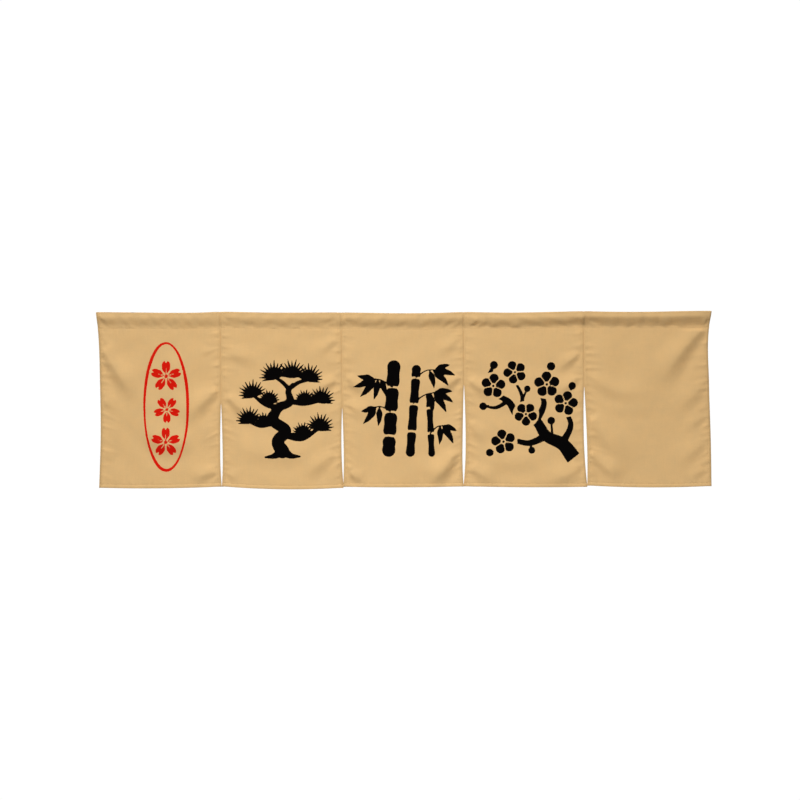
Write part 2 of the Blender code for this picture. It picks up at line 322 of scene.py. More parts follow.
def three_point(left: float, middle: float, right: float, share: np.ndarray) -> np.ndarray:
    """Reads a parabola through its left end, its middle and its right end.

    Args:
        left: The value at share 0.
        middle: The value at share 0.5.
        right: The value at share 1.
        share: Where the parabola is read.

    Returns:
        The parabola's values.
    """
    left_part = left * (1.0 - share) * (1.0 - 2.0 * share)
    middle_part = middle * 4.0 * share * (1.0 - share)
    right_part = right * share * (2.0 * share - 1.0)
    return left_part + middle_part + right_part


def stations(count: int, start_steps: tuple, end_steps: tuple) -> tuple:
    """Divides a length, finely near its ends and evenly between them.

    Args:
        count: How many divisions the length has.
        start_steps: Distances in from the start at which a division falls.
        end_steps: Distances in from the end at which a division falls.

    Returns:
        Each division's share of the length, and a set distance to add to it.
    """
    even = np.linspace(0.0, 1.0, count + 1 - len(start_steps) - len(end_steps))
    first = max(start_steps, default=0.0)
    last = max(end_steps, default=0.0)
    lead = [0.0, *start_steps][:-1]
    tail = [0.0, *end_steps][:-1]
    share = np.concatenate((np.zeros(len(lead)), even, np.ones(len(tail))))
    offset = np.concatenate((lead, first * (1.0 - even) - last * even, -np.array(tail[::-1])))
    return share, offset


def top_height(across: np.ndarray) -> np.ndarray:
    """Height of the sleeve's top line, which sags between the stiffer seams.

    Args:
        across: Places across the whole curtain.

    Returns:
        The heights there.
    """
    places, heights = zip(*TOP_LINE)
    return through(places, heights, across)


def edge_across(number: int, depth: np.ndarray) -> np.ndarray:
    """Reads where an outer edge or a seam lies across.

    Args:
        number: Which edge, from 0 at the far left to 5 at the far right.
        depth: Depths to read it at.

    Returns:
        The edge's places across.
    """
    edge = EDGES[number]
    values = (edge.top, edge.foot, edge.sewn, edge.middle, edge.hem)
    return through(EDGE_DEPTHS, values, depth)


def slit_width(number: int, depth: np.ndarray) -> np.ndarray:
    """Works out how far the cloth stands apart at a seam and its slit.

    Args:
        number: Which seam, from 1 to 4; the outer edges have none.
        depth: Depths to read it at.

    Returns:
        The widths, slightly negative where the panels are sewn together.
    """
    if number not in SLITS:
        return np.zeros_like(depth)
    slit = SLITS[number]
    rising = (depth - slit.opens) / (slit.widest - slit.opens)
    falling = (slit.closes - depth) / (slit.closes - slit.widest)
    share = np.clip(np.minimum(rising, falling), 0.0, 1.0)
    return slit.width * np.sin(0.5 * math.pi * share) ** SPINDLE_POWER - SEAM_OVERLAP


@dataclass(frozen=True)
class Pucker:
    """A short ripple that a row of stitches draws into the cloth."""

    place: float
    slant: float
    reach: float
    half_width: float
    rise: float

    def lift(self, inward: np.ndarray, along: np.ndarray) -> np.ndarray:
        """Works out how far the ripple lifts the cloth.

        Args:
            inward: Distances from the row of stitches towards the open cloth.
            along: Places along the row.

        Returns:
            The lift, which dies away quickly on the hem's side of the row.
        """
        reach = np.where(inward > 0.0, self.reach, HEM_PUCKER_REACH)
        beside = along - self.place - self.slant * np.maximum(inward, 0.0)
        return self.rise * bell(beside / self.half_width) * bell(inward / reach)


@dataclass(frozen=True)
class PuckerRow:
    """How the ripples along one row of stitches are spread."""

    start: float
    end: float
    pitch: tuple
    reach: tuple
    rise: tuple
    slant: tuple
    slant_power: float = 0.0
    half_width: tuple = (2.8, 5.4)

    def spread(self, random: np.random.Generator) -> list:
        """Places ripples at uneven distances along the row.

        Args:
            random: The panel's own seeded source of chance.

        Returns:
            The row's ripples.
        """
        puckers = []
        place = self.start + random.uniform(0.0, self.pitch[0])
        while place < self.end:
            slant = random.uniform(*self.slant) * (place / self.end) ** self.slant_power
            puckers.append(Pucker(place, slant, random.uniform(*self.reach),
                                  random.uniform(*self.half_width), random.uniform(*self.rise)))
            place += random.uniform(*self.pitch)
        return puckers


SIDE_PUCKERS = PuckerRow(54.0, 466.0, (15.0, 36.0), (12.0, 34.0), (0.7, 2.0), (0.1, 1.0), 1.2,
                         (4.5, 9.0))
SIDE_GATHERS = PuckerRow(50.0, 470.0, (7.0, 17.0), (4.0, 9.0), (0.3, 0.75), (-0.2, 0.6), 0.0,
                         (2.2, 3.6))
TOP_PUCKERS = PuckerRow(12.0, 328.0, (11.0, 26.0), (8.0, 22.0), (0.2, 0.6), (-0.3, 0.3))
HEM_PUCKERS = PuckerRow(12.0, 328.0, (12.0, 34.0), (7.0, 20.0), (0.25, 0.75), (-0.5, 0.5))


@dataclass
class Drape:
    """The way one panel's cloth hangs below its sleeve."""

    shape: PanelShape
    waves: list = field(default_factory=list)
    left_puckers: list = field(default_factory=list)
    right_puckers: list = field(default_factory=list)
    top_puckers: list = field(default_factory=list)
    hem_puckers: list = field(default_factory=list)

    def __post_init__(self) -> None:
        """Draws the panel's own waves and ripples from a seeded source."""
        random = np.random.default_rng(self.shape.number)
        for _ in range(UNEVEN_WAVES):
            length = random.uniform(*UNEVEN_LENGTH)
            angle = random.uniform(0.0, math.pi)
            turn = (math.cos(angle) / length, math.sin(angle) / length)
            self.waves.append((turn, random.uniform(0.0, 2.0 * math.pi)))
        self.left_puckers = SIDE_PUCKERS.spread(random) + SIDE_GATHERS.spread(random)
        self.right_puckers = SIDE_PUCKERS.spread(random) + SIDE_GATHERS.spread(random)
        self.top_puckers = TOP_PUCKERS.spread(random)
        self.hem_puckers = HEM_PUCKERS.spread(random)

    def sides(self, depth: np.ndarray) -> tuple:
        """Reads the places of the panel's left and right edges at a depth."""
        number = self.shape.number
        left = edge_across(number - 1, depth) + 0.5 * slit_width(number - 1, depth)
        right = edge_across(number, depth) - 0.5 * slit_width(number, depth)
        return left, right

    def sewn_share(self, on_left: np.ndarray, depth: np.ndarray) -> np.ndarray:
        """Works out how far the nearer side is sewn to the next panel.

        Args:
            on_left: Whether the left side is the nearer one.
            depth: Depths.

        Returns:
            1 where it is sewn, 0 at an open slit and at the curtain's own ends.
        """
        shares = []
        for number in (self.shape.number - 1, self.shape.number):
            if number in SLITS:
                shares.append(smooth_step((SLITS[number].opens - depth) / (2.0 * SEAM_FADE) + 0.5))
            else:
                shares.append(np.zeros_like(depth))
        return np.where(on_left, shares[0], shares[1])

    def painted_edge_shade(self, on_left: np.ndarray, from_side: np.ndarray,
                   depth: np.ndarray) -> np.ndarray:
        """Works out the painted shade along the cloth's sides, darkest a little in from each edge,
        where the cloth turns away from the light.

        Args:
            on_left: Whether the left side is the nearer one.
            from_side: Distances from the nearer side.
            depth: Depths.

        Returns:
            The share of the colour's brightness that is lost.
        """
        sewn = self.sewn_share(on_left, depth)
        left = END_SHADES[0] if self.shape.number == 1 else SLIT_SHADE
        right = END_SHADES[1] if self.shape.number == len(PANELS) else SLIT_SHADE
        free = np.where(on_left, left, right)
        strength = SEAM_SHADE * sewn + free * (1.0 - sewn)
        return strength * bell((from_side - SHADE_INSET) / SHADE_REACH)

    def hem_depth(self, share: np.ndarray) -> np.ndarray:
        """Reads the depth of the bottom hem's edge at a share of the width."""
        return three_point(self.shape.left, self.shape.middle, self.shape.right, share)

    def unevenness(self, across: np.ndarray, depth: np.ndarray) -> np.ndarray:
        """Adds up the slight, wide waves that all hanging cloth has."""
        total = np.zeros_like(across)
        for (turn_across, turn_down), phase in self.waves:
            total += np.sin(2.0 * math.pi * (across * turn_across + depth * turn_down) + phase)
        return total * UNEVEN_RISE

    def fold_rise(self, fold: Fold, across: np.ndarray, depth: np.ndarray) -> np.ndarray:
        """Works out how far one fold lifts the cloth.

        Args:
            fold: The fold.
            across: Places across.
            depth: Depths of the same points.

        Returns:
            The rise at each point.
        """
        share = np.linspace(0.0, 1.0, FOLD_STEPS)[:, None]
        start, middle = np.array((fold.x0, fold.d0)), np.array((fold.x1, fold.d1))
        path = three_point(start, middle, np.array((fold.x2, fold.d2)), share)
        nearest = np.full(across.shape, np.inf)
        along = np.zeros(across.shape)
        above = np.zeros(across.shape, bool)
        for step in range(FOLD_STEPS - 1):
            run = path[step + 1] - path[step]
            offset_x = across - path[step, 0]
            offset_d = depth - path[step, 1]
            part = np.clip((offset_x * run[0] + offset_d * run[1]) / (run @ run), 0.0, 1.0)
            away = np.hypot(offset_x - part * run[0], offset_d - part * run[1])
            closer = away < nearest
            nearest = np.where(closer, away, nearest)
            along = np.where(closer, (step + part) / (FOLD_STEPS - 1), along)
            over = run[0] * (offset_d * run[0] - offset_x * run[1]) < 0.0
            above = np.where(closer, over, above)
        fade_in = min(fold.fade_in * FOLD_SOFT_START, FOLD_LATEST_START)
        fading = smooth_step(along / fade_in) * smooth_step((1.0 - along) / fold.fade_out)
        size = np.ones_like(along)
        if fold.fade_in < FOLD_SPREAD_FROM:
            size = FOLD_SPREAD[0] + FOLD_SPREAD[1] * along
        away = nearest / (fold.half_width * size * np.where(above, FOLD_ABOVE, FOLD_BELOW))
        trough = FOLD_TROUGH * bell((away - TROUGH_PLACE) / TROUGH_WIDTH)
        shape = bell(away) - np.where(above, 0.0, trough)
        return fold.rise * FOLD_FULLNESS * fading * size * shape

    def forward(self, share: np.ndarray, across: np.ndarray, depth: np.ndarray,
                from_side: np.ndarray) -> np.ndarray:
        """Works out how far the hanging cloth leans and folds forward.

        Args:
            share: Share of the width.
            across: Places across.
            depth: Depths.
            from_side: Distances from the nearer side edge.

        Returns:
            The distance forward of the place under the sleeve.
        """
        shape = self.shape
        lean = three_point(shape.lean_left, shape.lean_middle, shape.lean_right, share)
        total = lean * smooth_step((depth - SEWN_DEPTH) / (HUNG_DEPTH - SEWN_DEPTH))
        folds = self.unevenness(across, depth)
        folds = folds * smooth_step((depth - SLEEVE_DEPTH) / UNEVEN_START)
        for fold in FOLDS:
            if fold.panel == shape.number:
                folds = folds + self.fold_rise(fold, across, depth)
        sewn_down = smooth_step((depth - SLEEVE_DEPTH) / FOLD_ANCHOR)
        return total + folds * smooth_step(from_side / HEM_STIFFNESS) * sewn_down

    def sleeve_creases(self, across: np.ndarray, depth: np.ndarray,
                       below_seam: np.ndarray) -> np.ndarray:
        """Adds up the creases in the front of the sleeve.

        Args:
            across: Places across.
            depth: Depths.
            below_seam: Distances along the cloth below the sleeve's stitch line.

        Returns:
            The lift of the sleeve's face.
        """
        lift = self.unevenness(SLEEVE_WAVE_RATE * across, SLEEVE_WAVE_RATE * depth)
        lift = lift * SLEEVE_UNEVENNESS
        for crease in SLEEVE_CREASES:
            if crease.panel == self.shape.number:
                lift = lift + self.fold_rise(crease, across, depth)
        on_front = (below_seam < 0.0) & (below_seam > -SLEEVE_FACE)
        top_fade, foot_fade = SLEEVE_FACE_FADE
        fading = smooth_step(-below_seam / foot_fade) * smooth_step(depth / top_fade)
        return lift * on_front * fading

    def pucker_lift(self, from_left: np.ndarray, from_right: np.ndarray, depth: np.ndarray,
                    below_seam: np.ndarray, from_hem: np.ndarray) -> np.ndarray:
        """Adds up the ripples along the panel's four rows of stitches.

        Args:
            from_left: Distances from the left edge.
            from_right: Distances from the right edge.
            depth: Depths.
            below_seam: Distances along the cloth below the sleeve's stitch line.
            from_hem: Distances along the cloth above the bottom hem's edge.

        Returns:
            The lift of the cloth's face.
        """
        lift = np.zeros_like(depth)
        for pucker in self.left_puckers:
            lift += pucker.lift(from_left - SIDE_STITCH, depth)
        for pucker in self.right_puckers:
            lift += pucker.lift(from_right - SIDE_STITCH, depth)
        lift *= smooth_step(below_seam / PUCKER_START)
        near_seam = smooth_step((below_seam + TOP_PUCKER_HEIGHT) / TOP_PUCKER_FADE)
        for pucker in self.top_puckers:
            lift += pucker.lift(np.abs(below_seam), from_left) * near_seam
        for pucker in self.hem_puckers:
            lift += pucker.lift(from_hem - BOTTOM_STITCH, from_left)
        return lift


class InkField:
    """How deep each point of the cloth lies inside a printed motif.

    The depth is positive in the ink and negative outside it. Motifs are drawn
    about their own centre, with x to the right and y upwards.
    """

    CAP = 12.0
    DOT_LENGTH = 0.1

    def __init__(self, x: np.ndarray, y: np.ndarray) -> None:
        """Starts with bare cloth.

        Args:
            x: Places to the right of the motif's centre.
            y: Places above the motif's centre.
        """
        self.x = x
        self.y = y
        self.depth = np.full(x.shape, -self.CAP)

    def inside(self, path: np.ndarray, half_widths: np.ndarray) -> tuple:
        """Measures the points near a brush path against it.

        Args:
            path: The path's points.
            half_widths: The brush's half width at each of them.

        Returns:
            Which points are near, and how deep each of them lies in the stroke.
        """
        reach = half_widths.max() + self.CAP
        low, high = path.min(axis=0) - reach, path.max(axis=0) + reach
        near = (self.x > low[0]) & (self.x < high[0]) & (self.y > low[1]) & (self.y < high[1])
        x, y = self.x[near], self.y[near]
        depth = half_widths[0] - np.hypot(x - path[0, 0], y - path[0, 1])
        for step in range(len(path) - 1):
            run = path[step + 1] - path[step]
            offset_x, offset_y = x - path[step, 0], y - path[step, 1]
            length = max(float(run @ run), 1e-9)
            share = np.clip((offset_x * run[0] + offset_y * run[1]) / length, 0.0, 1.0)
            away = np.hypot(offset_x - share * run[0], offset_y - share * run[1])
            width = half_widths[step] + share * (half_widths[step + 1] - half_widths[step])
            depth = np.maximum(depth, width - away)
        return near, depth

    @staticmethod
    def brush_path(points: tuple, half_widths: tuple, samples: int) -> tuple:
        """Smooths a stroke's few points into a path with a width all along it.

        Args:
            points: The points that the stroke passes through.
            half_widths: The brush's half width at each point.
            samples: How many points the path gets.

        Returns:
            The path and its half widths.
        """
        places = np.asarray(points, float)
        runs = np.hypot(*np.diff(places, axis=0).T)
        at = np.concatenate(([0.0], np.cumsum(runs)))
        read = np.linspace(0.0, at[-1], samples)
        path = np.stack((through(at, places[:, 0], read), through(at, places[:, 1], read)), 1)
        return path, np.interp(read, at, half_widths)

    def stroke(self, points: tuple, half_widths: tuple, samples: int = 18) -> None:
        """Lays a brush stroke.

        Args:
            points: The points that the stroke passes through.
            half_widths: The brush's half width at each point.
            samples: How finely the stroke is followed.
        """
        near, depth = self.inside(*self.brush_path(points, half_widths, samples))
        self.depth[near] = np.maximum(self.depth[near], depth)

    def gap(self, points: tuple, half_widths: tuple, samples: int = 6) -> None:
        """Leaves cloth bare along a path that would otherwise be inked.

        Args:
            points: The points that the gap passes through.
            half_widths: The gap's half width at each point.
            samples: How finely the gap is followed.
        """
        near, depth = self.inside(*self.brush_path(points, half_widths, samples))
        self.depth[near] = np.minimum(self.depth[near], -depth)

    def dot(self, x: float, y: float, radius: float) -> None:
        """Lays a round dot."""
        self.stroke(((x, y), (x + self.DOT_LENGTH, y)), (radius, radius), samples=2)

    def hole(self, x: float, y: float, radius: float) -> None:
        """Leaves a round place bare."""
        self.gap(((x, y), (x + self.DOT_LENGTH, y)), (radius, radius), samples=2)


def turned(x: float, y: float, distance: float, angle_deg: float) -> tuple:
    """Steps from a place by a distance, at an angle anticlockwise from the right."""
    angle = math.radians(angle_deg)
    return x + distance * math.cos(angle), y + distance * math.sin(angle)


class Motif:
    """A printed picture, placed on its panel by its centre."""

    def __init__(self, across: float, depth: float, scale: float = 1.0) -> None:
        """Keeps the place of the motif's centre, across and down, and its scale."""
        self.across = across
        self.depth = depth
        self.scale = scale

    def draw(self, ink: InkField) -> None:
        """Lays the motif's strokes; each kind of motif has its own."""
        raise NotImplementedError

    def ink_depth(self, across: np.ndarray, depth: np.ndarray) -> np.ndarray:
        """Draws the motif on the cloth.

        Args:
            across: Places across the curtain.
            depth: Depths of the same points.

        Returns:
            How deep each point lies in the ink.
        """
        ink = InkField((across - self.across) / self.scale, (self.depth - depth) / self.scale)
        self.draw(ink)
        return ink.depth


class PineMotif(Motif):
    """An old pine with a bent trunk and fans of needles."""

    TRUNK = ((-12, -122), (-26, -96), (-4, -66), (-38, -34), (-24, -2), (10, 16), (4, 46), (16, 62))
    TRUNK_WIDTHS = (19.0, 16.5, 16.0, 15.0, 13.0, 10.0, 8.0, 5.5)
    BRANCHES = (
        (((-12, -120), (-34, -134), (-60, -138)), (15.0, 8.0, 2.5)),
        (((-12, -120), (12, -134), (36, -136)), (15.0, 8.0, 2.5)),
        (((-36, -40), (-72, -50), (-104, -40)), (9.0, 7.0, 4.5)),
        (((-10, -74), (40, -86), (84, -62)), (10.0, 8.0, 4.5)),
        (((-26, -2), (-62, 10), (-92, 32)), (9.0, 6.6, 4.0)),
        (((4, 18), (46, 10), (88, 16)), (8.0, 6.4, 4.0)),
        (((6, 50), (-16, 72), (-32, 82)), (6.4, 5.2, 3.6)),
        (((12, 56), (36, 70), (56, 74)), (6.4, 5.2, 3.6)),
    )
    FANS = (
        (-104, -42, 46, 100), (-62, -50, 38, 84), (90, -62, 48, 82), (44, -78, 38, 96),
        (-94, 30, 48, 104), (-50, 14, 36, 86), (94, 14, 46, 80), (50, 14, 36, 96),
        (-34, 80, 50, 106), (60, 74, 48, 76), (14, 84, 50, 90),
    )
    NEEDLES = 13
    SPREAD_DEG = 86.0
    OUTER_LOSS = 0.22
    SHORT_NEEDLE = 0.9
    ROOT = 3.0
    BEND = 0.55
    DROOP_DEG = 3.0
    NEEDLE_WIDTHS = (4.2, 3.4, 1.0)

    def draw(self, ink: InkField) -> None:
        """Lays the trunk, its branches and a fan of needles at each tip."""
        ink.stroke(self.TRUNK, self.TRUNK_WIDTHS, samples=48)
        for points, widths in self.BRANCHES:
            ink.stroke(points, widths)
        for x, y, size, facing in self.FANS:
            self.fan(ink, x, y, size, facing)

    def fan(self, ink: InkField, x: float, y: float, size: float, facing: float) -> None:
        """Lays one fan of needles.

        Args:
            ink: The ink so far.
            x: Place of the fan's root.
            y: Height of the fan's root.
            size: Length of its longest needles.
            facing: The angle that the fan faces.
        """
        for needle in range(self.NEEDLES):
            share = 2.0 * needle / (self.NEEDLES - 1) - 1.0
            angle = facing + self.SPREAD_DEG * share
            length = size * (1.0 - self.OUTER_LOSS * share * share)
            length *= 1.0 if needle % 2 else self.SHORT_NEEDLE
            root = turned(x, y, self.ROOT, angle)
            bend = turned(x, y, self.BEND * length, angle - self.DROOP_DEG * share)
            tip = turned(x, y, length, angle)
            ink.stroke((root, bend, tip), self.NEEDLE_WIDTHS, samples=7)


class BambooMotif(Motif):
    """Three stems of bamboo with drooping leaves."""

    STEMS = (
        ((-62, -140), (-44, 140), 17.5, (0.0, 0.21, 0.46, 0.72, 1.0)),
        ((2, -140), (22, 126), 11.5, (0.0, 0.27, 0.57, 0.86, 1.0)),
        ((66, -140), (58, 44), 8.0, (0.0, 0.36, 0.76, 1.0)),
    )
    NODE_GAP = 3.2
    NODE_FLARE = 2.0
    LEAF_SHARES = (0.34, 0.70, 1.0)
    LEAF_DROOP_DEG = (0.0, 1.0, 4.0)
    LEAF_FULLNESS = (1.35, 0.85)
    LEAF_ENDS = (1.6, 0.5)
    TWIGS = (
        (((-50, 64), (-84, 84), (-108, 88)), (2.4, 1.9, 1.6)),
        (((12, 16), (46, 40), (78, 48)), (2.4, 1.9, 1.6)),
        (((20, 92), (52, 112), (78, 114)), (2.2, 1.8, 1.6)),
        (((-56, -8), (-86, 6), (-104, 4)), (2.2, 1.8, 1.6)),
        (((62, -72), (86, -52), (104, -50)), (2.2, 1.8, 1.6)),
    )
    LEAVES = (
        (-104, 88, 66, 206, 8.0), (-100, 88, 70, 234, 8.5), (-92, 86, 62, 262, 7.5),
        (-84, 84, 52, 292, 7.0), (-106, 90, 48, 176, 7.0),
        (76, 48, 62, 334, 8.0), (72, 47, 70, 306, 8.5), (62, 44, 60, 278, 7.5),
        (78, 50, 50, 4, 7.0),
        (76, 114, 62, 348, 8.0), (70, 113, 66, 318, 8.0), (60, 111, 54, 288, 7.0),
        (78, 116, 44, 20, 6.5),
        (-100, 4, 44, 200, 7.0), (-98, 4, 62, 236, 8.0), (-88, 4, 56, 270, 7.0),
        (102, -50, 42, 340, 6.5), (98, -50, 62, 304, 8.0), (90, -52, 54, 272, 7.0),
    )

    def draw(self, ink: InkField) -> None:
        """Lays the stems' sections, the twigs and the leaves."""
        for foot, tip, half_width, joints in self.STEMS:
            self.stem(ink, np.array(foot, float), np.array(tip, float), half_width, joints)
        for points, widths in self.TWIGS:
            ink.stroke(points, widths)
        for x, y, length, angle, half_width in self.LEAVES:
            self.leaf(ink, x, y, length, angle, half_width)

    def stem(self, ink: InkField, foot: np.ndarray, tip: np.ndarray, half_width: float,
             joints: tuple) -> None:
        """Lays one stem as sections with a bare line at each joint.

        Args:
            ink: The ink so far.
            foot: The stem's lower end.
            tip: The stem's upper end.
            half_width: Half the stem's thickness.
            joints: Shares of the stem's length at which its sections meet.
        """
        run = tip - foot
        along = run / np.hypot(*run)
        for low, high in zip(joints[:-1], joints[1:]):
            start = foot + run * low
            end = foot + run * high
            inset = along * half_width
            points = (start + inset, 0.5 * (start + end), end - inset)
            flared = half_width + self.NODE_FLARE
            ink.stroke([tuple(point) for point in points], (flared, half_width, flared))
        across = np.array((along[1], -along[0])) * (half_width + 2.0 * self.NODE_FLARE)
        for joint in joints[1:-1]:
            place = foot + run * joint
            ends = (tuple(place - across), tuple(place + along * 2.0), tuple(place + across))
            ink.gap(ends, (self.NODE_GAP,) * 3, samples=9)

    def leaf(self, ink: InkField, x: float, y: float, length: float, angle: float,
             half_width: float) -> None:
        """Lays one pointed leaf, which droops a little towards its tip.

        Args:
            ink: The ink so far.
            x: Place of the leaf's root.
            y: Height of the leaf's root.
            length: The leaf's length.
            angle: The angle at which it leaves its twig.
            half_width: Half its width where it is broadest.
        """
        points = [(x, y)]
        for share, droop in zip(self.LEAF_SHARES, self.LEAF_DROOP_DEG):
            points.append(turned(x, y, share * length, angle - droop))
        broad, slim = (fullness * half_width for fullness in self.LEAF_FULLNESS)
        ink.stroke(points, (self.LEAF_ENDS[0], broad, slim, self.LEAF_ENDS[1]), samples=20)


class PlumMotif(Motif):
    """A gnarled plum branch in flower."""

    BRANCHES = (
        (((120, -138), (90, -100), (44, -76), (16, -36), (-32, -22), (-62, 20), (-100, 38)),
         (21.0, 18.0, 15.0, 13.0, 11.0, 9.0, 5.5)),
        (((-98, 38), (-118, 82), (-104, 116)), (5.5, 4.4, 2.8)),
        (((46, -76), (-4, -96), (-52, -90), (-92, -112)), (11.0, 8.0, 6.4, 3.0)),
        (((16, -36), (38, 12), (28, 58), (54, 110)), (10.5, 7.8, 5.6, 2.8)),
        (((88, -98), (112, -46), (96, 4), (112, 52)), (10.5, 7.4, 5.4, 2.8)),
        (((-32, -22), (-22, 30), (-44, 78)), (7.0, 5.2, 3.0)),
        (((-62, 20), (-96, 2), (-124, 6)), (6.4, 4.8, 2.8)),
    )
    FLOWERS = (
        (-102, 62, 35, 12), (-42, 100, 33, 40), (46, 66, 37, 20), (98, 14, 35, 4),
        (-74, -92, 35, 30), (-12, -16, 33, 55),
    )
    CUT = ((94, -178), (166, -122))
    BUDS = (
        (-100, 120, 11.0, -108, 96), (58, 116, 11.5, 50, 96), (116, 62, 10.5, 110, 44),
        (-112, -122, 10.5, -88, -110), (-130, 6, 10.5, -116, 6), (4, -116, 9.5, 0, -96),
        (58, -34, 10.5, 62, -84), (-8, 54, 9.0, -26, 14),
    )
    CUT_WIDTHS = (16.0, 16.0)
    STEM_WIDTHS = (3.6, 2.6)
    PETALS = 5
    CLEARANCE = 3.2
    PETAL_DOTS = ((0.60, 0.37), (0.36, 0.20))
    PARTING = (0.1, 1.05)
    PARTING_WIDTHS = (1.5, 1.5)
    HEART = 0.21
    PISTIL = 0.10

    def draw(self, ink: InkField) -> None:
        """Lays the branches, the buds and the flowers in front of them."""
        for points, widths in self.BRANCHES:
            ink.stroke(points, widths, samples=8 * len(points))
        ink.gap(self.CUT, self.CUT_WIDTHS, samples=2)
        for x, y, radius, stem_x, stem_y in self.BUDS:
            ink.stroke(((stem_x, stem_y), (x, y)), self.STEM_WIDTHS, samples=2)
            ink.dot(x, y, radius)
        for x, y, size, turn in self.FLOWERS:
            self.flower(ink, x, y, size, turn)

    def flower(self, ink: InkField, x: float, y: float, size: float, turn: float) -> None:
        """Lays one flower of round petals, parted by bare lines.

        Args:
            ink: The ink so far.
            x: Place of its centre.
            y: Height of its centre.
            size: Its radius.
            turn: The angle of its first petal.
        """
        ink.hole(x, y, size + self.CLEARANCE)
        step = 360.0 / self.PETALS
        for petal in range(self.PETALS):
            for distance, radius in self.PETAL_DOTS:
                ink.dot(*turned(x, y, distance * size, turn + step * petal), radius * size)
        for petal in range(self.PETALS):
            angle = turn + step * (petal + 0.5)
            parting = [turned(x, y, distance * size, angle) for distance in self.PARTING]
            ink.gap(parting, self.PARTING_WIDTHS, samples=2)
        ink.hole(x, y, self.HEART * size)
        ink.dot(x, y, self.PISTIL * size)


class BlossomMotif(Motif):
    """Three cherry flowers in a long oval, drawn with a round brush."""

    OVAL = (60.0, 176.0)
    OVAL_STEPS = 40
    OVAL_HALF_WIDTH = 3.5
    OVAL_SWELL = 0.8
    FLOWERS = ((0, 84, 43, 90), (2, -8, 37, 54), (-1, -98, 41, 90))
    PETALS = 5
    PETAL = ((0.20, 0.06), (0.55, 0.27), (0.74, 0.27))
    NOTCH = ((1.04, 0.10), (0.84, 0.015))
    PARTING = ((0.16, 1.3), (1.04, 1.6))
    VEIN = ((0.22, 1.3), (0.52, 0.9))
    PISTIL = 0.11

    def draw(self, ink: InkField) -> None:
        """Lays the oval and its flowers."""
        points = []
        widths = []
        for step in range(self.OVAL_STEPS + 1):
            angle = 2.0 * math.pi * step / self.OVAL_STEPS
            points.append((self.OVAL[0] * math.cos(angle), self.OVAL[1] * math.sin(angle)))
            widths.append(self.OVAL_HALF_WIDTH + self.OVAL_SWELL * math.sin(3.0 * angle + 0.7))
        ink.stroke(points, widths, samples=120)
        for x, y, size, turn in self.FLOWERS:
            self.flower(ink, x, y, size, turn)

    def flower(self, ink: InkField, x: float, y: float, size: float, turn: float) -> None:
        """Lays one flower whose petals are notched at their tips.

        Args:
            ink: The ink so far.
            x: Place of its centre.
            y: Height of its centre.
            size: Its radius.
            turn: The angle of its first petal.
        """
        step = 360.0 / self.PETALS
        for petal in range(self.PETALS):
            angle = turn + step * petal
            points = [turned(x, y, distance * size, angle) for distance, _ in self.PETAL]
            ink.stroke(points, [width * size for _, width in self.PETAL])
        for petal in range(self.PETALS):
            angle = turn + step * petal
            for ray, facing, scale, samples in (
                    (self.NOTCH, angle, size, 5), (self.PARTING, angle + 0.5 * step, 1.0, 2),
                    (self.VEIN, angle, 1.0, 4)):
                points = [turned(x, y, distance * size, facing) for distance, _ in ray]
                ink.gap(points, [width * scale for _, width in ray], samples)
        ink.dot(x, y, self.PISTIL * size)


class Print(Enum):
    """The colour that a panel is printed in."""

    NONE = "plain"
    BLACK = "black"
    RED = "red"


PRINT_COLOURS = {
    Print.NONE: (0.0, 0.0, 0.0),
    Print.BLACK: (0.0016, 0.0012, 0.0012),
    Print.RED: (0.61, 0.009, 0.003),
}


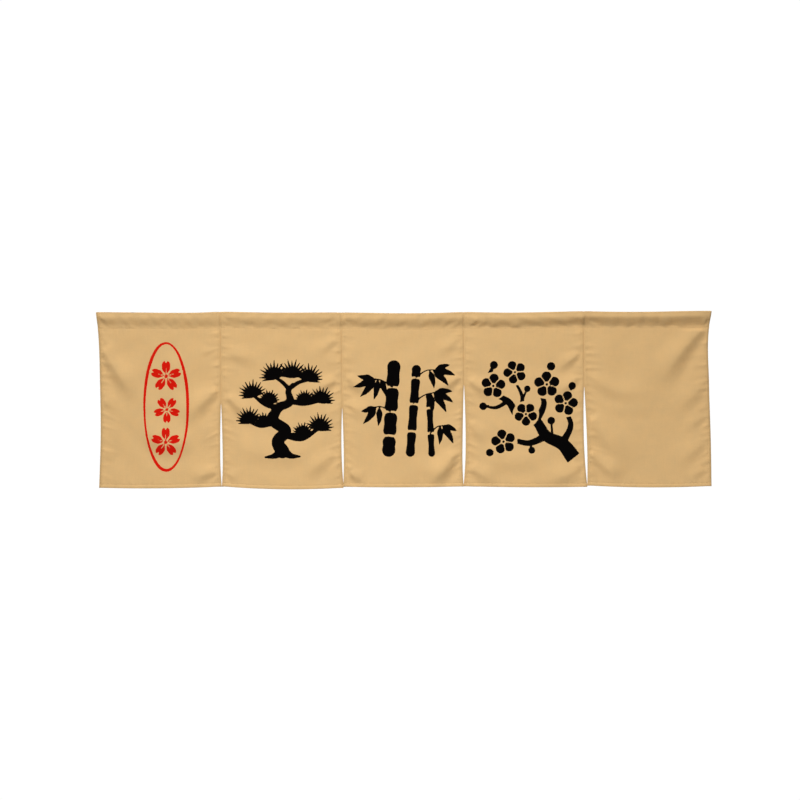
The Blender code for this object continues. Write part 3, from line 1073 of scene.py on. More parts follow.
class NodeBench:
    """Adds shader nodes to one new material and joins them."""

    def __init__(self, name: str) -> None:
        """Makes the material, with its principled shader ready."""
        self.material = bpy.data.materials.new(name)
        self.material.use_nodes = True
        self.nodes = self.material.node_tree.nodes
        self.links = self.material.node_tree.links
        self.shader = self.nodes["Principled BSDF"]

    def add(self, kind: str, **settings) -> bpy.types.Node:
        """Adds a node and sets its own options.

        Args:
            kind: The node's type name.
            **settings: Options of the node.

        Returns:
            The node.
        """
        node = self.nodes.new(kind)
        for name, value in settings.items():
            setattr(node, name, value)
        return node

    def feed(self, socket: bpy.types.NodeSocket, value) -> None:
        """Links a socket to another's output, or sets it to a number."""
        if isinstance(value, bpy.types.NodeSocket):
            self.links.new(value, socket)
        else:
            socket.default_value = value

    def math(self, operation: str, first, second=0.0) -> bpy.types.NodeSocket:
        """Adds a math node.

        Args:
            operation: What it works out.
            first: A number or a socket.
            second: A number or a socket.

        Returns:
            The result's socket.
        """
        node = self.add("ShaderNodeMath", operation=operation)
        self.feed(node.inputs[0], first)
        self.feed(node.inputs[1], second)
        return node.outputs[0]

    def noise(self, vector: bpy.types.NodeSocket, stretch: tuple,
              detail: float = 2.0) -> bpy.types.NodeSocket:
        """Adds a noise texture, stretched along the threads.

        Args:
            vector: Where it is read.
            stretch: Its scale along the width, the length and the depth.
            detail: How many finer layers it has.

        Returns:
            The noise's value socket.
        """
        mapping = self.add("ShaderNodeMapping")
        mapping.inputs["Scale"].default_value = stretch
        self.links.new(vector, mapping.inputs["Vector"])
        noise = self.add("ShaderNodeTexNoise")
        noise.inputs["Scale"].default_value = 1.0
        noise.inputs["Detail"].default_value = detail
        self.links.new(mapping.outputs["Vector"], noise.inputs["Vector"])
        return noise.outputs["Fac"]

    def ease(self, value, low: float, high: float) -> bpy.types.NodeSocket:
        """Adds a smooth step of a value from 0 at low to 1 at high.

        Args:
            value: The socket to ease.
            low: Where the result is 0.
            high: Where the result is 1.

        Returns:
            The result's socket.
        """
        node = self.add("ShaderNodeMapRange", interpolation_type="SMOOTHSTEP")
        self.feed(node.inputs["Value"], value)
        node.inputs["From Min"].default_value = low
        node.inputs["From Max"].default_value = high
        return node.outputs["Result"]

    def mix(self, share, first, second) -> bpy.types.NodeSocket:
        """Adds a mix of two colours.

        Args:
            share: How much of the second colour shows.
            first: A colour or a socket.
            second: A colour or a socket.

        Returns:
            The mixed colour's socket.
        """
        node = self.add("ShaderNodeMix", data_type="RGBA")
        self.feed(node.inputs[0], share)
        for socket, value in ((node.inputs[6], first), (node.inputs[7], second)):
            self.feed(socket, (*value, 1.0) if isinstance(value, tuple) else value)
        return node.outputs[2]

    def brighten(self, colour: bpy.types.NodeSocket, factor) -> bpy.types.NodeSocket:
        """Multiplies a colour by a value.

        Args:
            colour: The colour's socket.
            factor: The value's socket.

        Returns:
            The product's socket.
        """
        node = self.add("ShaderNodeVectorMath", operation="SCALE")
        self.links.new(colour, node.inputs[0])
        self.feed(node.inputs["Scale"], factor)
        return node.outputs[0]

    def bump(self, height, distance_m: float, strength: float) -> None:
        """Gives the shader a bump.

        Args:
            height: The height's socket, from 0 to 1.
            distance_m: What a height of 1 stands for, in metres.
            strength: How strongly it shows.
        """
        node = self.add("ShaderNodeBump")
        node.inputs["Distance"].default_value = distance_m
        node.inputs["Strength"].default_value = strength
        self.links.new(height, node.inputs["Height"])
        self.links.new(node.outputs["Normal"], self.shader.inputs["Normal"])


BACK_SHOW_THROUGH = 0.62


@dataclass(frozen=True)
class ClothFinish:
    """Plain-weave polyester, bare or printed, on its face or its back."""

    print_colour: Print
    show_through: float = 1.0
    colour: tuple = (0.655, 0.434, 0.203)
    thread_pitch: float = 0.44
    roughness: float = 0.90
    specular: float = 0.02
    sheen: float = 0.01

    THREAD_HEIGHT_M = 0.00016
    THREAD_STRENGTH = 0.55
    CROSSING = 0.12
    THREAD_DIP = 0.4
    SLUBS = (0.02, 1.1)
    SLUB_LIGHT = 0.10
    MOTTLE_SCALE = 0.035
    MOTTLE_LIGHT = 0.11
    # Painted shade: the colour is darker where the threads dip and lighter on their crowns.
    WEAVE_PAINTED_SHADE = 0.16
    MEAN_WEAVE = 0.6
    WARMER = (1.02, 0.97, 0.90)
    RAGGED_SCALE = 0.30
    RAGGED_DEPTH = 1.8
    INK_EDGE = 0.22

    def build(self) -> bpy.types.Material:
        """Makes the material.

        Returns:
            The finished material.
        """
        side = "face" if self.show_through >= 1.0 else "back"
        bench = NodeBench(f"noren_cloth_{self.print_colour.value}_{side}")
        place = bench.add("ShaderNodeAttribute", attribute_name="cloth_at").outputs["Vector"]
        weave = self.weave(bench, place)
        colour = self.dyed(bench, place, weave)
        if self.print_colour is not Print.NONE:
            colour = self.printed(bench, place, colour)
        bench.links.new(colour, bench.shader.inputs["Base Color"])
        bench.bump(weave, self.THREAD_HEIGHT_M, self.THREAD_STRENGTH)
        bench.shader.inputs["Roughness"].default_value = self.roughness
        bench.shader.inputs["Specular IOR Level"].default_value = self.specular
        bench.shader.inputs["Sheen Weight"].default_value = self.sheen
        bench.shader.inputs["Sheen Roughness"].default_value = 0.5
        return bench.material

    def weave(self, bench: NodeBench, place: bpy.types.NodeSocket) -> bpy.types.NodeSocket:
        """Raises warp and weft threads over each other in turn.

        Args:
            bench: The material's nodes.
            place: Where on the flat cloth the surface is.

        Returns:
            The height of the threads, from 0 to 1.
        """
        parts = bench.add("ShaderNodeSeparateXYZ")
        bench.links.new(place, parts.inputs[0])
        rate = math.pi / self.thread_pitch
        warp = bench.math("SINE", bench.math("MULTIPLY", parts.outputs["X"], rate))
        weft = bench.math("SINE", bench.math("MULTIPLY", parts.outputs["Y"], rate))
        over = bench.ease(bench.math("MULTIPLY", warp, weft), -self.CROSSING, self.CROSSING)
        round_warp = bench.math("ABSOLUTE", warp)
        round_weft = bench.math("ABSOLUTE", weft)
        along_warp = bench.math("MULTIPLY_ADD", round_weft, self.THREAD_DIP)
        along_weft = bench.math("MULTIPLY_ADD", round_warp, self.THREAD_DIP)
        for along in (along_warp, along_weft):
            along.node.inputs[2].default_value = 1.0 - self.THREAD_DIP
        on_top = bench.math("MULTIPLY", bench.math("MULTIPLY", round_warp, along_warp), over)
        under = bench.math("SUBTRACT", 1.0, over)
        beside = bench.math("MULTIPLY", bench.math("MULTIPLY", round_weft, along_weft), under)
        return bench.math("ADD", on_top, beside)

    def dyed(self, bench: NodeBench, place: bpy.types.NodeSocket,
             weave: bpy.types.NodeSocket) -> bpy.types.NodeSocket:
        """Colours the cloth, uneven from thread to thread, with painted shade where the threads dip
        and along the edges, seams, crease and tucks.

        Args:
            bench: The material's nodes.
            place: Where on the flat cloth the surface is.
            weave: The height of the threads.

        Returns:
            The cloth's colour.
        """
        along, across = self.SLUBS
        weft_slubs = bench.noise(place, (along, across, 1.0))
        warp_slubs = bench.noise(place, (across, along, 1.0))
        mottle = bench.noise(place, (self.MOTTLE_SCALE, self.MOTTLE_SCALE, 1.0), detail=4.0)
        slubs = bench.math("ADD", weft_slubs, warp_slubs)
        light = bench.math("MULTIPLY", bench.math("SUBTRACT", slubs, 1.0), self.SLUB_LIGHT)
        patches = bench.math("MULTIPLY", bench.math("SUBTRACT", mottle, 0.5), self.MOTTLE_LIGHT)
        light = bench.math("ADD", light, patches)
        # Painted shade between the threads, from their height.
        shade = bench.math("SUBTRACT", weave, self.MEAN_WEAVE)
        shade = bench.math("MULTIPLY", shade, self.WEAVE_PAINTED_SHADE)
        factor = bench.math("ADD", 1.0, bench.math("ADD", light, shade))
        # Painted shade: the colour darkens by the stored shade along the edges, seams, crease and
        # tucks.
        painted_shade = bench.add("ShaderNodeAttribute", attribute_name="painted_edge_shade").outputs["Fac"]
        factor = bench.math("MULTIPLY", factor, bench.math("SUBTRACT", 1.0, painted_shade))
        warmer = tuple(value * tint for value, tint in zip(self.colour, self.WARMER))
        return bench.brighten(bench.mix(mottle, self.colour, warmer), factor)

    def printed(self, bench: NodeBench, place: bpy.types.NodeSocket,
                cloth: bpy.types.NodeSocket) -> bpy.types.NodeSocket:
        """Lays the ink over the cloth, with edges as a brush leaves them.

        Args:
            bench: The material's nodes.
            place: Where on the flat cloth the surface is.
            cloth: The bare cloth's colour.

        Returns:
            The printed cloth's colour.
        """
        depth = bench.add("ShaderNodeAttribute", attribute_name="ink").outputs["Fac"]
        ragged = bench.noise(place, (self.RAGGED_SCALE, self.RAGGED_SCALE, 1.0), detail=3.0)
        ragged = bench.math("MULTIPLY", bench.math("SUBTRACT", ragged, 0.5), self.RAGGED_DEPTH)
        edge = bench.math("ADD", depth, ragged)
        covered = bench.ease(edge, -self.INK_EDGE, self.INK_EDGE)
        share = bench.math("MULTIPLY", covered, self.show_through)
        return bench.mix(share, cloth, PRINT_COLOURS[self.print_colour])


@dataclass(frozen=True)
class ThreadFinish:
    """Twisted polyester sewing thread, dyed to the cloth."""

    colour: tuple = (0.60, 0.39, 0.175)
    dark: tuple = (0.47, 0.30, 0.13)
    roughness: float = 0.62

    PLY_SCALE = (2600.0, 2600.0, 2600.0)
    WEAR_SCALE = (60.0, 60.0, 60.0)
    PLY_HEIGHT_M = 0.00005

    def build(self) -> bpy.types.Material:
        """Makes the material.

        Returns:
            The finished material.
        """
        bench = NodeBench("noren_thread")
        place = bench.add("ShaderNodeTexCoord").outputs["Object"]
        plies = bench.noise(place, self.PLY_SCALE, detail=1.0)
        wear = bench.noise(place, self.WEAR_SCALE)
        # Partly painted shade: the thread takes its dark colour where its plies dip, from the noise
        # that also bumps it; the wear noise varies its tone at random.
        share = bench.math("MULTIPLY", bench.math("ADD", plies, wear), 0.5)
        bench.links.new(bench.mix(share, self.dark, self.colour), bench.shader.inputs["Base Color"])
        bench.bump(plies, self.PLY_HEIGHT_M, 0.5)
        bench.shader.inputs["Roughness"].default_value = self.roughness
        bench.shader.inputs["Specular IOR Level"].default_value = 0.3
        return bench.material


def alone(obj: bpy.types.Object) -> bpy.types.Object:
    """Makes an object the only one selected, and the active one."""
    bpy.ops.object.select_all(action="DESELECT")
    obj.select_set(True)
    bpy.context.view_layer.objects.active = obj
    return obj


def sleeve_profile(drop: float) -> np.ndarray:
    """Works out the cloth's way round the rod sleeve.

    Args:
        drop: How much lower than usual the sleeve's underside begins.

    Returns:
        Forward and height places of the outer face, from the turned edge at the
        back, over the top and down to the stitch line at the front.
    """
    side = np.array(SLEEVE_SIDE)
    side[:, 1] -= drop * bell((side[:, 1] + 0.5 * SLEEVE_DEPTH) / DROP_REACH)
    at = np.concatenate(([0.0], np.cumsum(np.hypot(*np.diff(side, axis=0).T))))
    read = at[-1] * np.linspace(0.0, 1.0, SLEEVE_POINTS)
    forward, height = through(at, side[:, 0], read), through(at, side[:, 1], read)
    nearness = (height / -SLEEVE_DEPTH) ** 2
    front = np.stack((forward + FRONT_LIP * nearness, height), axis=1)
    back = np.stack((-forward - BACK_LIP * nearness, height), axis=1)
    tail = np.array([(-BACK_LIP, -SLEEVE_DEPTH - step) for step in TAIL_STEPS])
    return np.concatenate((tail, back, front[-2::-1]))


class PanelCloth:
    """One panel's strip of cloth, from its turned edge behind to its bottom hem."""

    COLUMNS = 148
    BODY_ROWS = 172
    SIDE_STEPS = (0.25, 0.7, 2.4, 4.8, 7.0, 8.2, 9.0, 9.8, 10.8, 11.5)
    LIP_STEPS_BELOW = (0.6, 1.4, 2.8)
    HEM_STEPS = (0.25, 0.7, 1.8, 3.4, 5.2, 7.0, 8.4, 9.2, 10.0, 10.8, 11.9, 12.6)
    SIDE_HEM = 11.2
    BOTTOM_HEM = 12.2
    SMOOTH_DEG = 50.0

    def __init__(self, shape: PanelShape, motif: Motif | None, print_colour: Print) -> None:
        """Divides the strip and keeps what is printed on it.

        Args:
            shape: The panel's own measurements.
            motif: The picture on the panel, if it has one.
            print_colour: The colour of that picture.
        """
        self.drape = Drape(shape)
        self.number = shape.number
        self.motif = motif
        self.print_colour = print_colour
        self.profile = sleeve_profile(SLEEVE_DROP[shape.number])
        steps = np.diff(self.profile, axis=0)
        self.profile_at = np.concatenate(([0.0], np.cumsum(np.hypot(steps[:, 0], steps[:, 1]))))
        tangent = np.gradient(self.profile, self.profile_at, axis=0)
        tangent /= np.hypot(tangent[:, 0], tangent[:, 1])[:, None]
        self.profile_out = np.stack((-tangent[:, 1], tangent[:, 0]), axis=1)
        self.profile_out[-1] = (1.0, 0.0)
        self.lip_row = len(self.profile) - 1
        self.back_lip_row = len(TAIL_STEPS)
        self.rows = self.lip_row + self.BODY_ROWS
        self.column_share, self.column_offset = stations(
            self.COLUMNS, self.SIDE_STEPS, self.SIDE_STEPS)
        self.body_share, self.body_offset = stations(
            self.BODY_ROWS, self.LIP_STEPS_BELOW, self.HEM_STEPS)

    def surface(self, share: np.ndarray, offset: np.ndarray, row: np.ndarray) -> dict:
        """Works out points of the cloth's outer face.

        Args:
            share: Share of the panel's width.
            offset: A set distance to add to it.
            row: The strip's row, from 0 at the turned edge behind.

        Returns:
            The points, their outward directions and their places on the strip.
        """
        drape = self.drape
        sleeve_row = np.minimum(row, self.lip_row)
        body_row = np.maximum(row - self.lip_row, 0)
        below = row > self.lip_row
        left, right = drape.sides(np.full(share.shape, SLEEVE_DEPTH))
        lip_depth = SLEEVE_DEPTH - top_height(left + share * (right - left) + offset)
        hem_depth = drape.hem_depth(share)
        body_depth = lip_depth + self.body_share[body_row] * (hem_depth - lip_depth)
        body_depth = body_depth + self.body_offset[body_row]
        depth = np.where(below, body_depth, -self.profile[sleeve_row, 1])
        left, right = drape.sides(depth)
        across = left + share * (right - left) + offset
        from_left, from_right = across - left, right - across
        from_side = np.minimum(from_left, from_right)
        from_hem = np.where(below, hem_depth - body_depth, HUNG_DEPTH)
        from_tail = self.profile_at[sleeve_row] + np.where(below, HUNG_DEPTH, 0.0)
        below_seam = np.where(below, body_depth - lip_depth,
                              self.profile_at[sleeve_row] - self.profile_at[-1])

        hanging = FRONT_LIP + drape.forward(share, across, depth, from_side)
        first, last = SLEEVE_FULLNESS[self.number]
        swell = first + (last - first) * share
        swell = swell + SLEEVE_SWELL * np.sin(across / SLEEVE_SWELL_LENGTH + self.number)
        at_seam = np.where(from_left < from_right, SEAM_FULLNESS[self.number - 1],
                           SEAM_FULLNESS[self.number])
        swell = at_seam + (swell - at_seam) * smooth_step(from_side / SEAM_FULLNESS_REACH)
        on_front = smooth_step(self.profile[sleeve_row, 0] / FRONT_START)
        swell = np.minimum(swell, 1.0) + np.maximum(swell - 1.0, 0.0) * on_front
        lip = np.where(self.profile[sleeve_row, 0] > 0.0, FRONT_LIP, -BACK_LIP)
        lip = lip * (self.profile[sleeve_row, 1] / SLEEVE_DEPTH) ** 2
        bulge = self.profile[sleeve_row, 0] - lip
        forward = np.where(below, hanging, lip + bulge * swell)
        room = np.where(below, np.maximum(below_seam - TAIL, 0.0), np.abs(bulge * swell))
        height = np.where(below, -body_depth, self.profile[sleeve_row, 1] + top_height(across))
        out_forward = np.where(below, 1.0, self.profile_out[sleeve_row, 0])
        out_height = np.where(below, 0.0, self.profile_out[sleeve_row, 1])

        lift = drape.pucker_lift(from_left, from_right, depth, below_seam, from_hem)
        lift = lift + drape.sleeve_creases(across, depth, below_seam)
        lift = lift * smooth_step(from_side / LIFT_FADE)
        lift = lift - TUCK_DIP * bell(below_seam / TUCK_REACH) * bell(from_side / TUCK_HALF)
        for away in (from_side - SIDE_STITCH, below_seam, from_hem - BOTTOM_STITCH,
                     from_tail - TAIL):
            lift = lift - STITCH_DIP * bell(away / STITCH_DIP_REACH)
        sewn = drape.sewn_share(from_left < from_right, depth)
        roll = ROLL_DEPTH * (1.0 - SEAM_ROLL_LOSS * sewn)
        lift = lift - roll * bell(from_side / ROLL_REACH)
        lift = lift - SEAM_VALLEY * sewn * bell(from_side / SEAM_VALLEY_REACH)
        in_hem = np.clip(from_hem / BOTTOM_STITCH, 0.0, 1.0) ** HEM_CREST_POWER
        lift = lift + HEM_BULGE * np.sin(math.pi * in_hem)
        for inset in (from_side, from_hem, from_tail):
            bend = 1.0 - np.clip(inset / EDGE_RADIUS, 0.0, 1.0)
            lift = lift - EDGE_RADIUS * (1.0 - np.sqrt(1.0 - bend * bend))
        room = room + LIP_ROOM
        lift = np.where(lift < 0.0, room * np.tanh(lift / room), lift)
        forward = forward + lift * out_forward
        height = height + lift * out_height
        # Painted shade in the sleeve's front crease.
        top_at = 0.5 * (self.profile_at[self.back_lip_row] + self.profile_at[-1])
        from_crease = self.profile_at[sleeve_row] - top_at - FRONT_CREASE
        # Painted shade along the side edges, the slits and the seams.
        shade = drape.painted_edge_shade(from_left < from_right, from_side, depth)
        shade = np.maximum(shade, CREASE_SHADE * bell(from_crease / CREASE_REACH))
        # Painted shadow of the tuck at each sewn seam, just above the sleeve's stitch line.
        above, reach = TUCK_SHADE_DEPTH
        tuck = bell((below_seam + above) / reach) * bell(from_side / TUCK_SHADE_REACH)
        shade = shade + TUCK_SHADE * sewn * tuck
        hem = (from_side < self.SIDE_HEM) | (from_hem < self.BOTTOM_HEM) | (from_tail < TURNED_EDGE)
        hem &= (room > LIP_ROOM + PRESSED_ROOM) | (from_side > TUCK_HALF)
        at = np.where(below, self.profile_at[-1] + below_seam, self.profile_at[sleeve_row])
        return {
            "points": np.stack((across, -forward, height), axis=1) * MM,
            "out": np.stack((np.zeros_like(across), -out_forward, out_height), axis=1),
            "across": across,
            "depth": depth,
            "below": below,
            "hem": hem,
            "shade": shade,
            "cloth_at": np.stack((share * PANEL_WIDTH + offset, at, np.zeros_like(at)), axis=1),
        }

    def build(self) -> bpy.types.Object:
        """Makes the panel's cloth, with its hems, prints and finish.

        Returns:
            The cloth object.
        """
        bpy.ops.object.select_all(action="DESELECT")
        bpy.ops.mesh.primitive_grid_add(
            x_subdivisions=self.COLUMNS, y_subdivisions=self.rows, size=1.0)
        obj = bpy.context.active_object
        obj.name = obj.data.name = f"noren_cloth_{self.number}"
        mesh = obj.data
        corners = np.empty(3 * len(mesh.vertices))
        mesh.vertices.foreach_get("co", corners)
        corners = corners.reshape(-1, 3)
        column = np.rint((corners[:, 0] + 0.5) * self.COLUMNS).astype(int)
        row = np.rint((0.5 - corners[:, 1]) * self.rows).astype(int)
        made = self.surface(self.column_share[column], self.column_offset[column], row)
        mesh.vertices.foreach_set("co", made["points"].ravel())
        mesh.update()
        self.face_outwards(mesh)
        self.store(mesh, made)
        self.thicken(obj, np.flatnonzero(made["hem"]))
        mesh.materials.append(ClothFinish(self.print_colour).build())
        mesh.materials.append(ClothFinish(self.print_colour, BACK_SHOW_THROUGH).build())
        alone(obj)
        for modifier in list(obj.modifiers):
            bpy.ops.object.modifier_apply(modifier=modifier.name)
        bpy.ops.object.shade_smooth_by_angle(angle=math.radians(self.SMOOTH_DEG))
        return obj

    @staticmethod
    def face_outwards(mesh: bpy.types.Mesh) -> None:
        """Turns the strip so that its hanging part faces the viewer."""
        normals = np.empty(3 * len(mesh.polygons))
        mesh.polygons.foreach_get("normal", normals)
        centres = np.empty(3 * len(mesh.polygons))
        mesh.polygons.foreach_get("center", centres)
        hanging = centres.reshape(-1, 3)[:, 2] < -2.0 * SLEEVE_DEPTH * MM
        if normals.reshape(-1, 3)[hanging, 1].mean() > 0.0:
            mesh.flip_normals()

    def store(self, mesh: bpy.types.Mesh, made: dict) -> None:
        """Keeps each point's place on the flat cloth, its painted shade and its depth in the ink.

        Args:
            mesh: The strip's mesh.
            made: What surface() worked out.
        """
        place = mesh.attributes.new("cloth_at", "FLOAT_VECTOR", "POINT")
        place.data.foreach_set("vector", made["cloth_at"].ravel())
        mesh.attributes.new("painted_edge_shade", "FLOAT", "POINT").data.foreach_set("value", made["shade"])
        if self.motif is None:
            return
        depth = self.motif.ink_depth(made["across"], made["depth"])
        depth = np.where(made["below"], depth, -InkField.CAP)
        mesh.attributes.new("ink", "FLOAT", "POINT").data.foreach_set("value", depth)

    @staticmethod
    def thicken(obj: bpy.types.Object, hem_points: np.ndarray) -> None:
        """Gives the strip its thickness behind its outer face, more in its hems.

        Args:
            obj: The strip.
            hem_points: The points that lie in a hem.
        """
        hem = obj.vertex_groups.new(name="hem")
        hem.add([int(index) for index in hem_points], 1.0, "REPLACE")
        solidify = obj.modifiers.new("cloth_thickness", "SOLIDIFY")
        solidify.thickness = HEM_CLOTH * MM
        solidify.offset = -1.0
        solidify.use_even_offset = False
        solidify.material_offset = 1
        solidify.vertex_group = "hem"
        solidify.thickness_vertex_group = CLOTH / HEM_CLOTH


class Stitching:
    """A panel's rows of machine stitches, on its face and its back."""

    PITCH = 3.1
    HALF_LENGTH = 1.25
    HALF_WIDTH = 0.27
    HALF_HEIGHT = 0.20
    END_COLUMNS = 3

    def __init__(self, cloth: PanelCloth) -> None:
        """Keeps the cloth that is sewn and models the stitch that is copied."""
        self.cloth = cloth
        self.stitch_points, self.stitch_faces = self.model_stitch()
        self.points = []

    def model_stitch(self) -> tuple:
        """Models one stitch: a short bead of thread that dips in at both ends.

        Returns:
            Its points in millimetres, long way along x, and its faces.
        """
        bpy.ops.object.select_all(action="DESELECT")
        bpy.ops.mesh.primitive_uv_sphere_add(segments=6, ring_count=4, radius=1.0)
        stitch = bpy.context.active_object
        bpy.ops.object.mode_set(mode="EDIT")
        bpy.ops.mesh.select_all(action="SELECT")
        bpy.ops.transform.rotate(value=0.5 * math.pi, orient_axis="Y",
                                 center_override=(0.0, 0.0, 0.0))
        bpy.ops.transform.resize(value=(self.HALF_LENGTH, self.HALF_WIDTH, self.HALF_HEIGHT),
                                 center_override=(0.0, 0.0, 0.0))
        bpy.ops.object.mode_set(mode="OBJECT")
        points = np.array([vertex.co for vertex in stitch.data.vertices])
        faces = [tuple(face.vertices) for face in stitch.data.polygons]
        bpy.data.objects.remove(stitch)
        return points, faces

    def sew(self, points: np.ndarray, out: np.ndarray) -> None:
        """Lays stitches along a line on the cloth.

        Args:
            points: The line's points, in metres.
            out: The outward direction at each point.
        """
        runs = np.linalg.norm(np.diff(points, axis=0), axis=1)
        at = np.concatenate(([0.0], np.cumsum(runs)))
        places = np.arange(0.5 * self.PITCH * MM, at[-1], self.PITCH * MM)
        centres = np.stack([np.interp(places, at, points[:, axis]) for axis in range(3)], 1)
        outward = np.stack([np.interp(places, at, out[:, axis]) for axis in range(3)], 1)
        step = 0.4 * self.PITCH * MM
        along = np.stack([np.interp(places + step, at, points[:, axis])
                          - np.interp(places - step, at, points[:, axis]) for axis in range(3)], 1)
        along /= np.linalg.norm(along, axis=1)[:, None]
        sideways = np.cross(outward, along)
        sideways /= np.linalg.norm(sideways, axis=1)[:, None]
        outward = np.cross(along, sideways)
        shape = self.stitch_points * MM
        copies = (centres[:, None]
                  + shape[None, :, 0:1] * along[:, None]
                  + shape[None, :, 1:2] * sideways[:, None]
                  + shape[None, :, 2:3] * outward[:, None])
        self.points.append(copies.reshape(-1, 3))

    def sew_rows(self) -> None:
        """Lays the panel's side rows, hem row and sleeve rows, front and back."""
        cloth = self.cloth
        every = np.arange(cloth.rows + 1)
        hem_row = cloth.rows - cloth.HEM_STEPS.index(BOTTOM_STITCH) - 1
        for share, offset in ((0.0, SIDE_STITCH), (1.0, -SIDE_STITCH)):
            rows = every[: cloth.rows - 2]
            line = cloth.surface(np.full(len(rows), share), np.full(len(rows), offset), rows)
            self.sew(line["points"], line["out"])
            hanging = rows > cloth.lip_row + 4
            self.sew_behind(line["points"][hanging], HEM_CLOTH)
        columns = slice(self.END_COLUMNS, cloth.COLUMNS + 1 - self.END_COLUMNS)
        share, offset = cloth.column_share[columns], cloth.column_offset[columns]
        for row, raised in ((hem_row, 0.0), (cloth.lip_row, LIP_STITCH_RISE),
                            (cloth.back_lip_row, 0.0)):
            line = cloth.surface(share, offset, np.full(len(share), row))
            self.sew(line["points"] + raised * MM * line["out"], line["out"])
            if row == hem_row:
                self.sew_behind(line["points"], HEM_CLOTH)

    def sew_behind(self, points: np.ndarray, thickness: float) -> None:
        """Lays a row's stitches on the back of hanging cloth.

        Args:
            points: The row's points on the face, in metres.
            thickness: The cloth's thickness there.
        """
        behind = points + np.array((0.0, thickness * MM, 0.0))
        self.sew(behind, np.tile((0.0, 1.0, 0.0), (len(points), 1)))

    def build(self) -> bpy.types.Object:
        """Joins the stitches into one object.

        Returns:
            The stitching object.
        """
        self.sew_rows()
        points = np.concatenate(self.points)
        count = len(points) // len(self.stitch_points)
        faces = []
        for copy in range(count):
            first = copy * len(self.stitch_points)
            faces.extend(tuple(first + index for index in face) for face in self.stitch_faces)
        mesh = bpy.data.meshes.new(f"noren_stitching_{self.cloth.number}")
        mesh.from_pydata(points.tolist(), [], faces)
        mesh.update()
        obj = bpy.data.objects.new(mesh.name, mesh)
        bpy.context.scene.collection.objects.link(obj)
        mesh.materials.append(ThreadFinish().build())
        mesh.shade_smooth()
        return obj


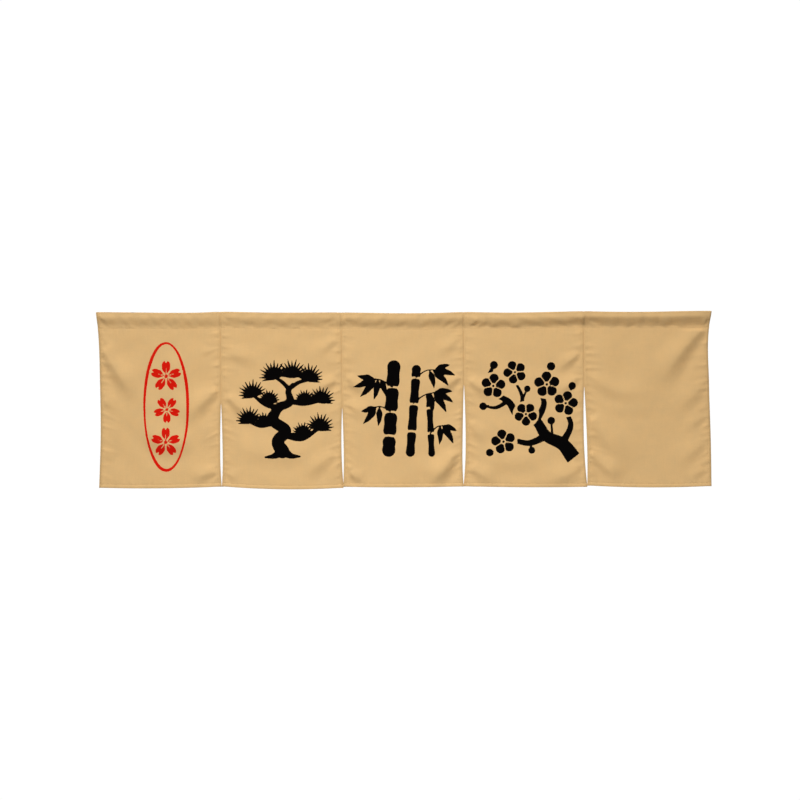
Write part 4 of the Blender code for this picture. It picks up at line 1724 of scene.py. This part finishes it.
class Studio:
    """A pale floor, soft lights and the camera."""

    FLOOR_HEIGHT_M = -1.9
    FLOOR_RADIUS_M = 2.8
    VIEW_M = 2.211
    CAMERA_DISTANCE_M = 6.0
    AIM_M = (-0.0097, 0.0, -0.2424)
    ROLL_DEG = 0.1
    SENSOR_MM = 36.0
    AMBIENT = 0.18
    KEY_M = (-0.9, -4.8, 4.8)
    KEY_WATTS = 64.6
    KEY_SPREAD_DEG = 60.0
    FILL_M = (1.6, 4.6, 2.2)
    FILL_WATTS = 34.0
    FILL_SPREAD_DEG = 80.0
    LIGHT_AIM_M = (0.0, 0.0, -1.2)
    LIGHT_SIZE_M = 1.5
    RIM_START_M = 1.7
    RIM_END = 0.97
    RIM_GLOW = 0.5
    FLOOR_COLOUR = (0.90, 0.90, 0.89, 1.0)
    FLOOR_ROUGHNESS = 0.8
    WHITE = (1.0, 1.0, 1.0, 1.0)
    BACKDROP = 1.02

    def build(self) -> None:
        """Makes the floor, the world, the lights and the camera."""
        self.make_floor()
        self.make_world()
        self.make_light("key", self.KEY_M, self.KEY_WATTS, self.KEY_SPREAD_DEG)
        self.make_light("back_fill", self.FILL_M, self.FILL_WATTS, self.FILL_SPREAD_DEG)
        self.make_camera()
        bpy.context.scene.view_settings.view_transform = "Standard"

    def make_floor(self) -> None:
        """Lays a pale round floor under the curtain, which hangs well above it."""
        bpy.ops.object.select_all(action="DESELECT")
        bpy.ops.mesh.primitive_circle_add(
            vertices=96, radius=self.FLOOR_RADIUS_M, fill_type="NGON",
            location=(0.0, 0.0, self.FLOOR_HEIGHT_M))
        floor = bpy.context.active_object
        floor.name = "studio_floor"
        bench = NodeBench("studio_floor")
        bench.shader.inputs["Base Color"].default_value = self.FLOOR_COLOUR
        bench.shader.inputs["Roughness"].default_value = self.FLOOR_ROUGHNESS
        bench.shader.inputs["Specular IOR Level"].default_value = 0.1
        place = bench.add("ShaderNodeTexCoord").outputs["Object"]
        length = bench.add("ShaderNodeVectorMath", operation="LENGTH")
        bench.links.new(place, length.inputs[0])
        # Painted glow: the floor's outer rim emits white, so that its edge fades into the backdrop.
        rim_end = self.RIM_END * self.FLOOR_RADIUS_M
        rim = bench.ease(length.outputs["Value"], self.RIM_START_M, rim_end)
        glow = bench.math("MULTIPLY", rim, self.RIM_GLOW)
        bench.shader.inputs["Emission Color"].default_value = self.WHITE
        bench.links.new(glow, bench.shader.inputs["Emission Strength"])
        floor.data.materials.append(bench.material)

    def make_world(self) -> None:
        """Surrounds the scene with white that lights it softly."""
        world = bpy.data.worlds.new("studio_world")
        bpy.context.scene.world = world
        world.use_nodes = True
        nodes, links = world.node_tree.nodes, world.node_tree.links
        background = nodes["Background"]
        background.inputs["Color"].default_value = self.WHITE
        seen = nodes.new("ShaderNodeLightPath").outputs["Is Camera Ray"]
        strength = nodes.new("ShaderNodeMapRange")
        strength.inputs["To Min"].default_value = self.AMBIENT
        strength.inputs["To Max"].default_value = self.BACKDROP
        links.new(seen, strength.inputs["Value"])
        links.new(strength.outputs["Result"], background.inputs["Strength"])

    def make_light(self, name: str, place: tuple, watts: float, spread_deg: float) -> None:
        """Hangs a square soft box that faces the curtain and fades to its sides.

        Args:
            name: The light's name.
            place: Where it hangs, in metres.
            watts: Its power.
            spread_deg: How widely it shines.
        """
        data = bpy.data.lights.new(name, "AREA")
        data.size = self.LIGHT_SIZE_M
        data.energy = watts
        data.spread = math.radians(spread_deg)
        light = bpy.data.objects.new(name, data)
        light.location = place
        aim = Vector(self.LIGHT_AIM_M) - Vector(place)
        light.rotation_euler = aim.to_track_quat("-Z", "Y").to_euler()
        bpy.context.scene.collection.objects.link(light)

    def make_camera(self) -> None:
        """Sets the camera square to the front, framed as the photograph is."""
        data = bpy.data.cameras.new("camera")
        data.sensor_width = self.SENSOR_MM
        data.lens = self.SENSOR_MM * self.CAMERA_DISTANCE_M / self.VIEW_M
        data.clip_end = 100.0
        camera = bpy.data.objects.new("camera", data)
        camera.location = Vector(self.AIM_M) - Vector((0.0, self.CAMERA_DISTANCE_M, 0.0))
        facing = Matrix.Rotation(math.radians(90.0), 4, "X")
        roll = Matrix.Rotation(math.radians(-self.ROLL_DEG), 4, "Z")
        camera.rotation_euler = (facing @ roll).to_euler()
        bpy.context.scene.collection.objects.link(camera)
        bpy.context.scene.camera = camera


PRINTS = {
    1: (BlossomMotif(-656.0, 260.0), Print.RED),
    2: (PineMotif(-322.0, 262.0), Print.BLACK),
    3: (BambooMotif(16.0, 266.0, 0.94), Print.BLACK),
    4: (PlumMotif(350.0, 266.0), Print.BLACK),
    5: (None, Print.NONE),
}


def main() -> None:
    """Builds each panel's cloth and stitching, then the studio."""
    logging.basicConfig(level=logging.INFO, format="%(name)s: %(message)s")
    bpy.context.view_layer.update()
    for shape in PANELS:
        motif, print_colour = PRINTS[shape.number]
        cloth = PanelCloth(shape, motif, print_colour)
        obj = cloth.build()
        stitching = Stitching(cloth).build()
        for piece, slot in ((obj, "noren_cloth"), (stitching, "stitching")):
            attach(piece, "root")
        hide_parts(f"panel_{shape.number}", f"sleeve_{shape.number}")
        LOG.info("%s: %d faces", obj.name, len(obj.data.polygons))
        LOG.info("%s: %d faces", stitching.name, len(stitching.data.polygons))
    Studio().build()


if __name__ == "__main__":
    main()
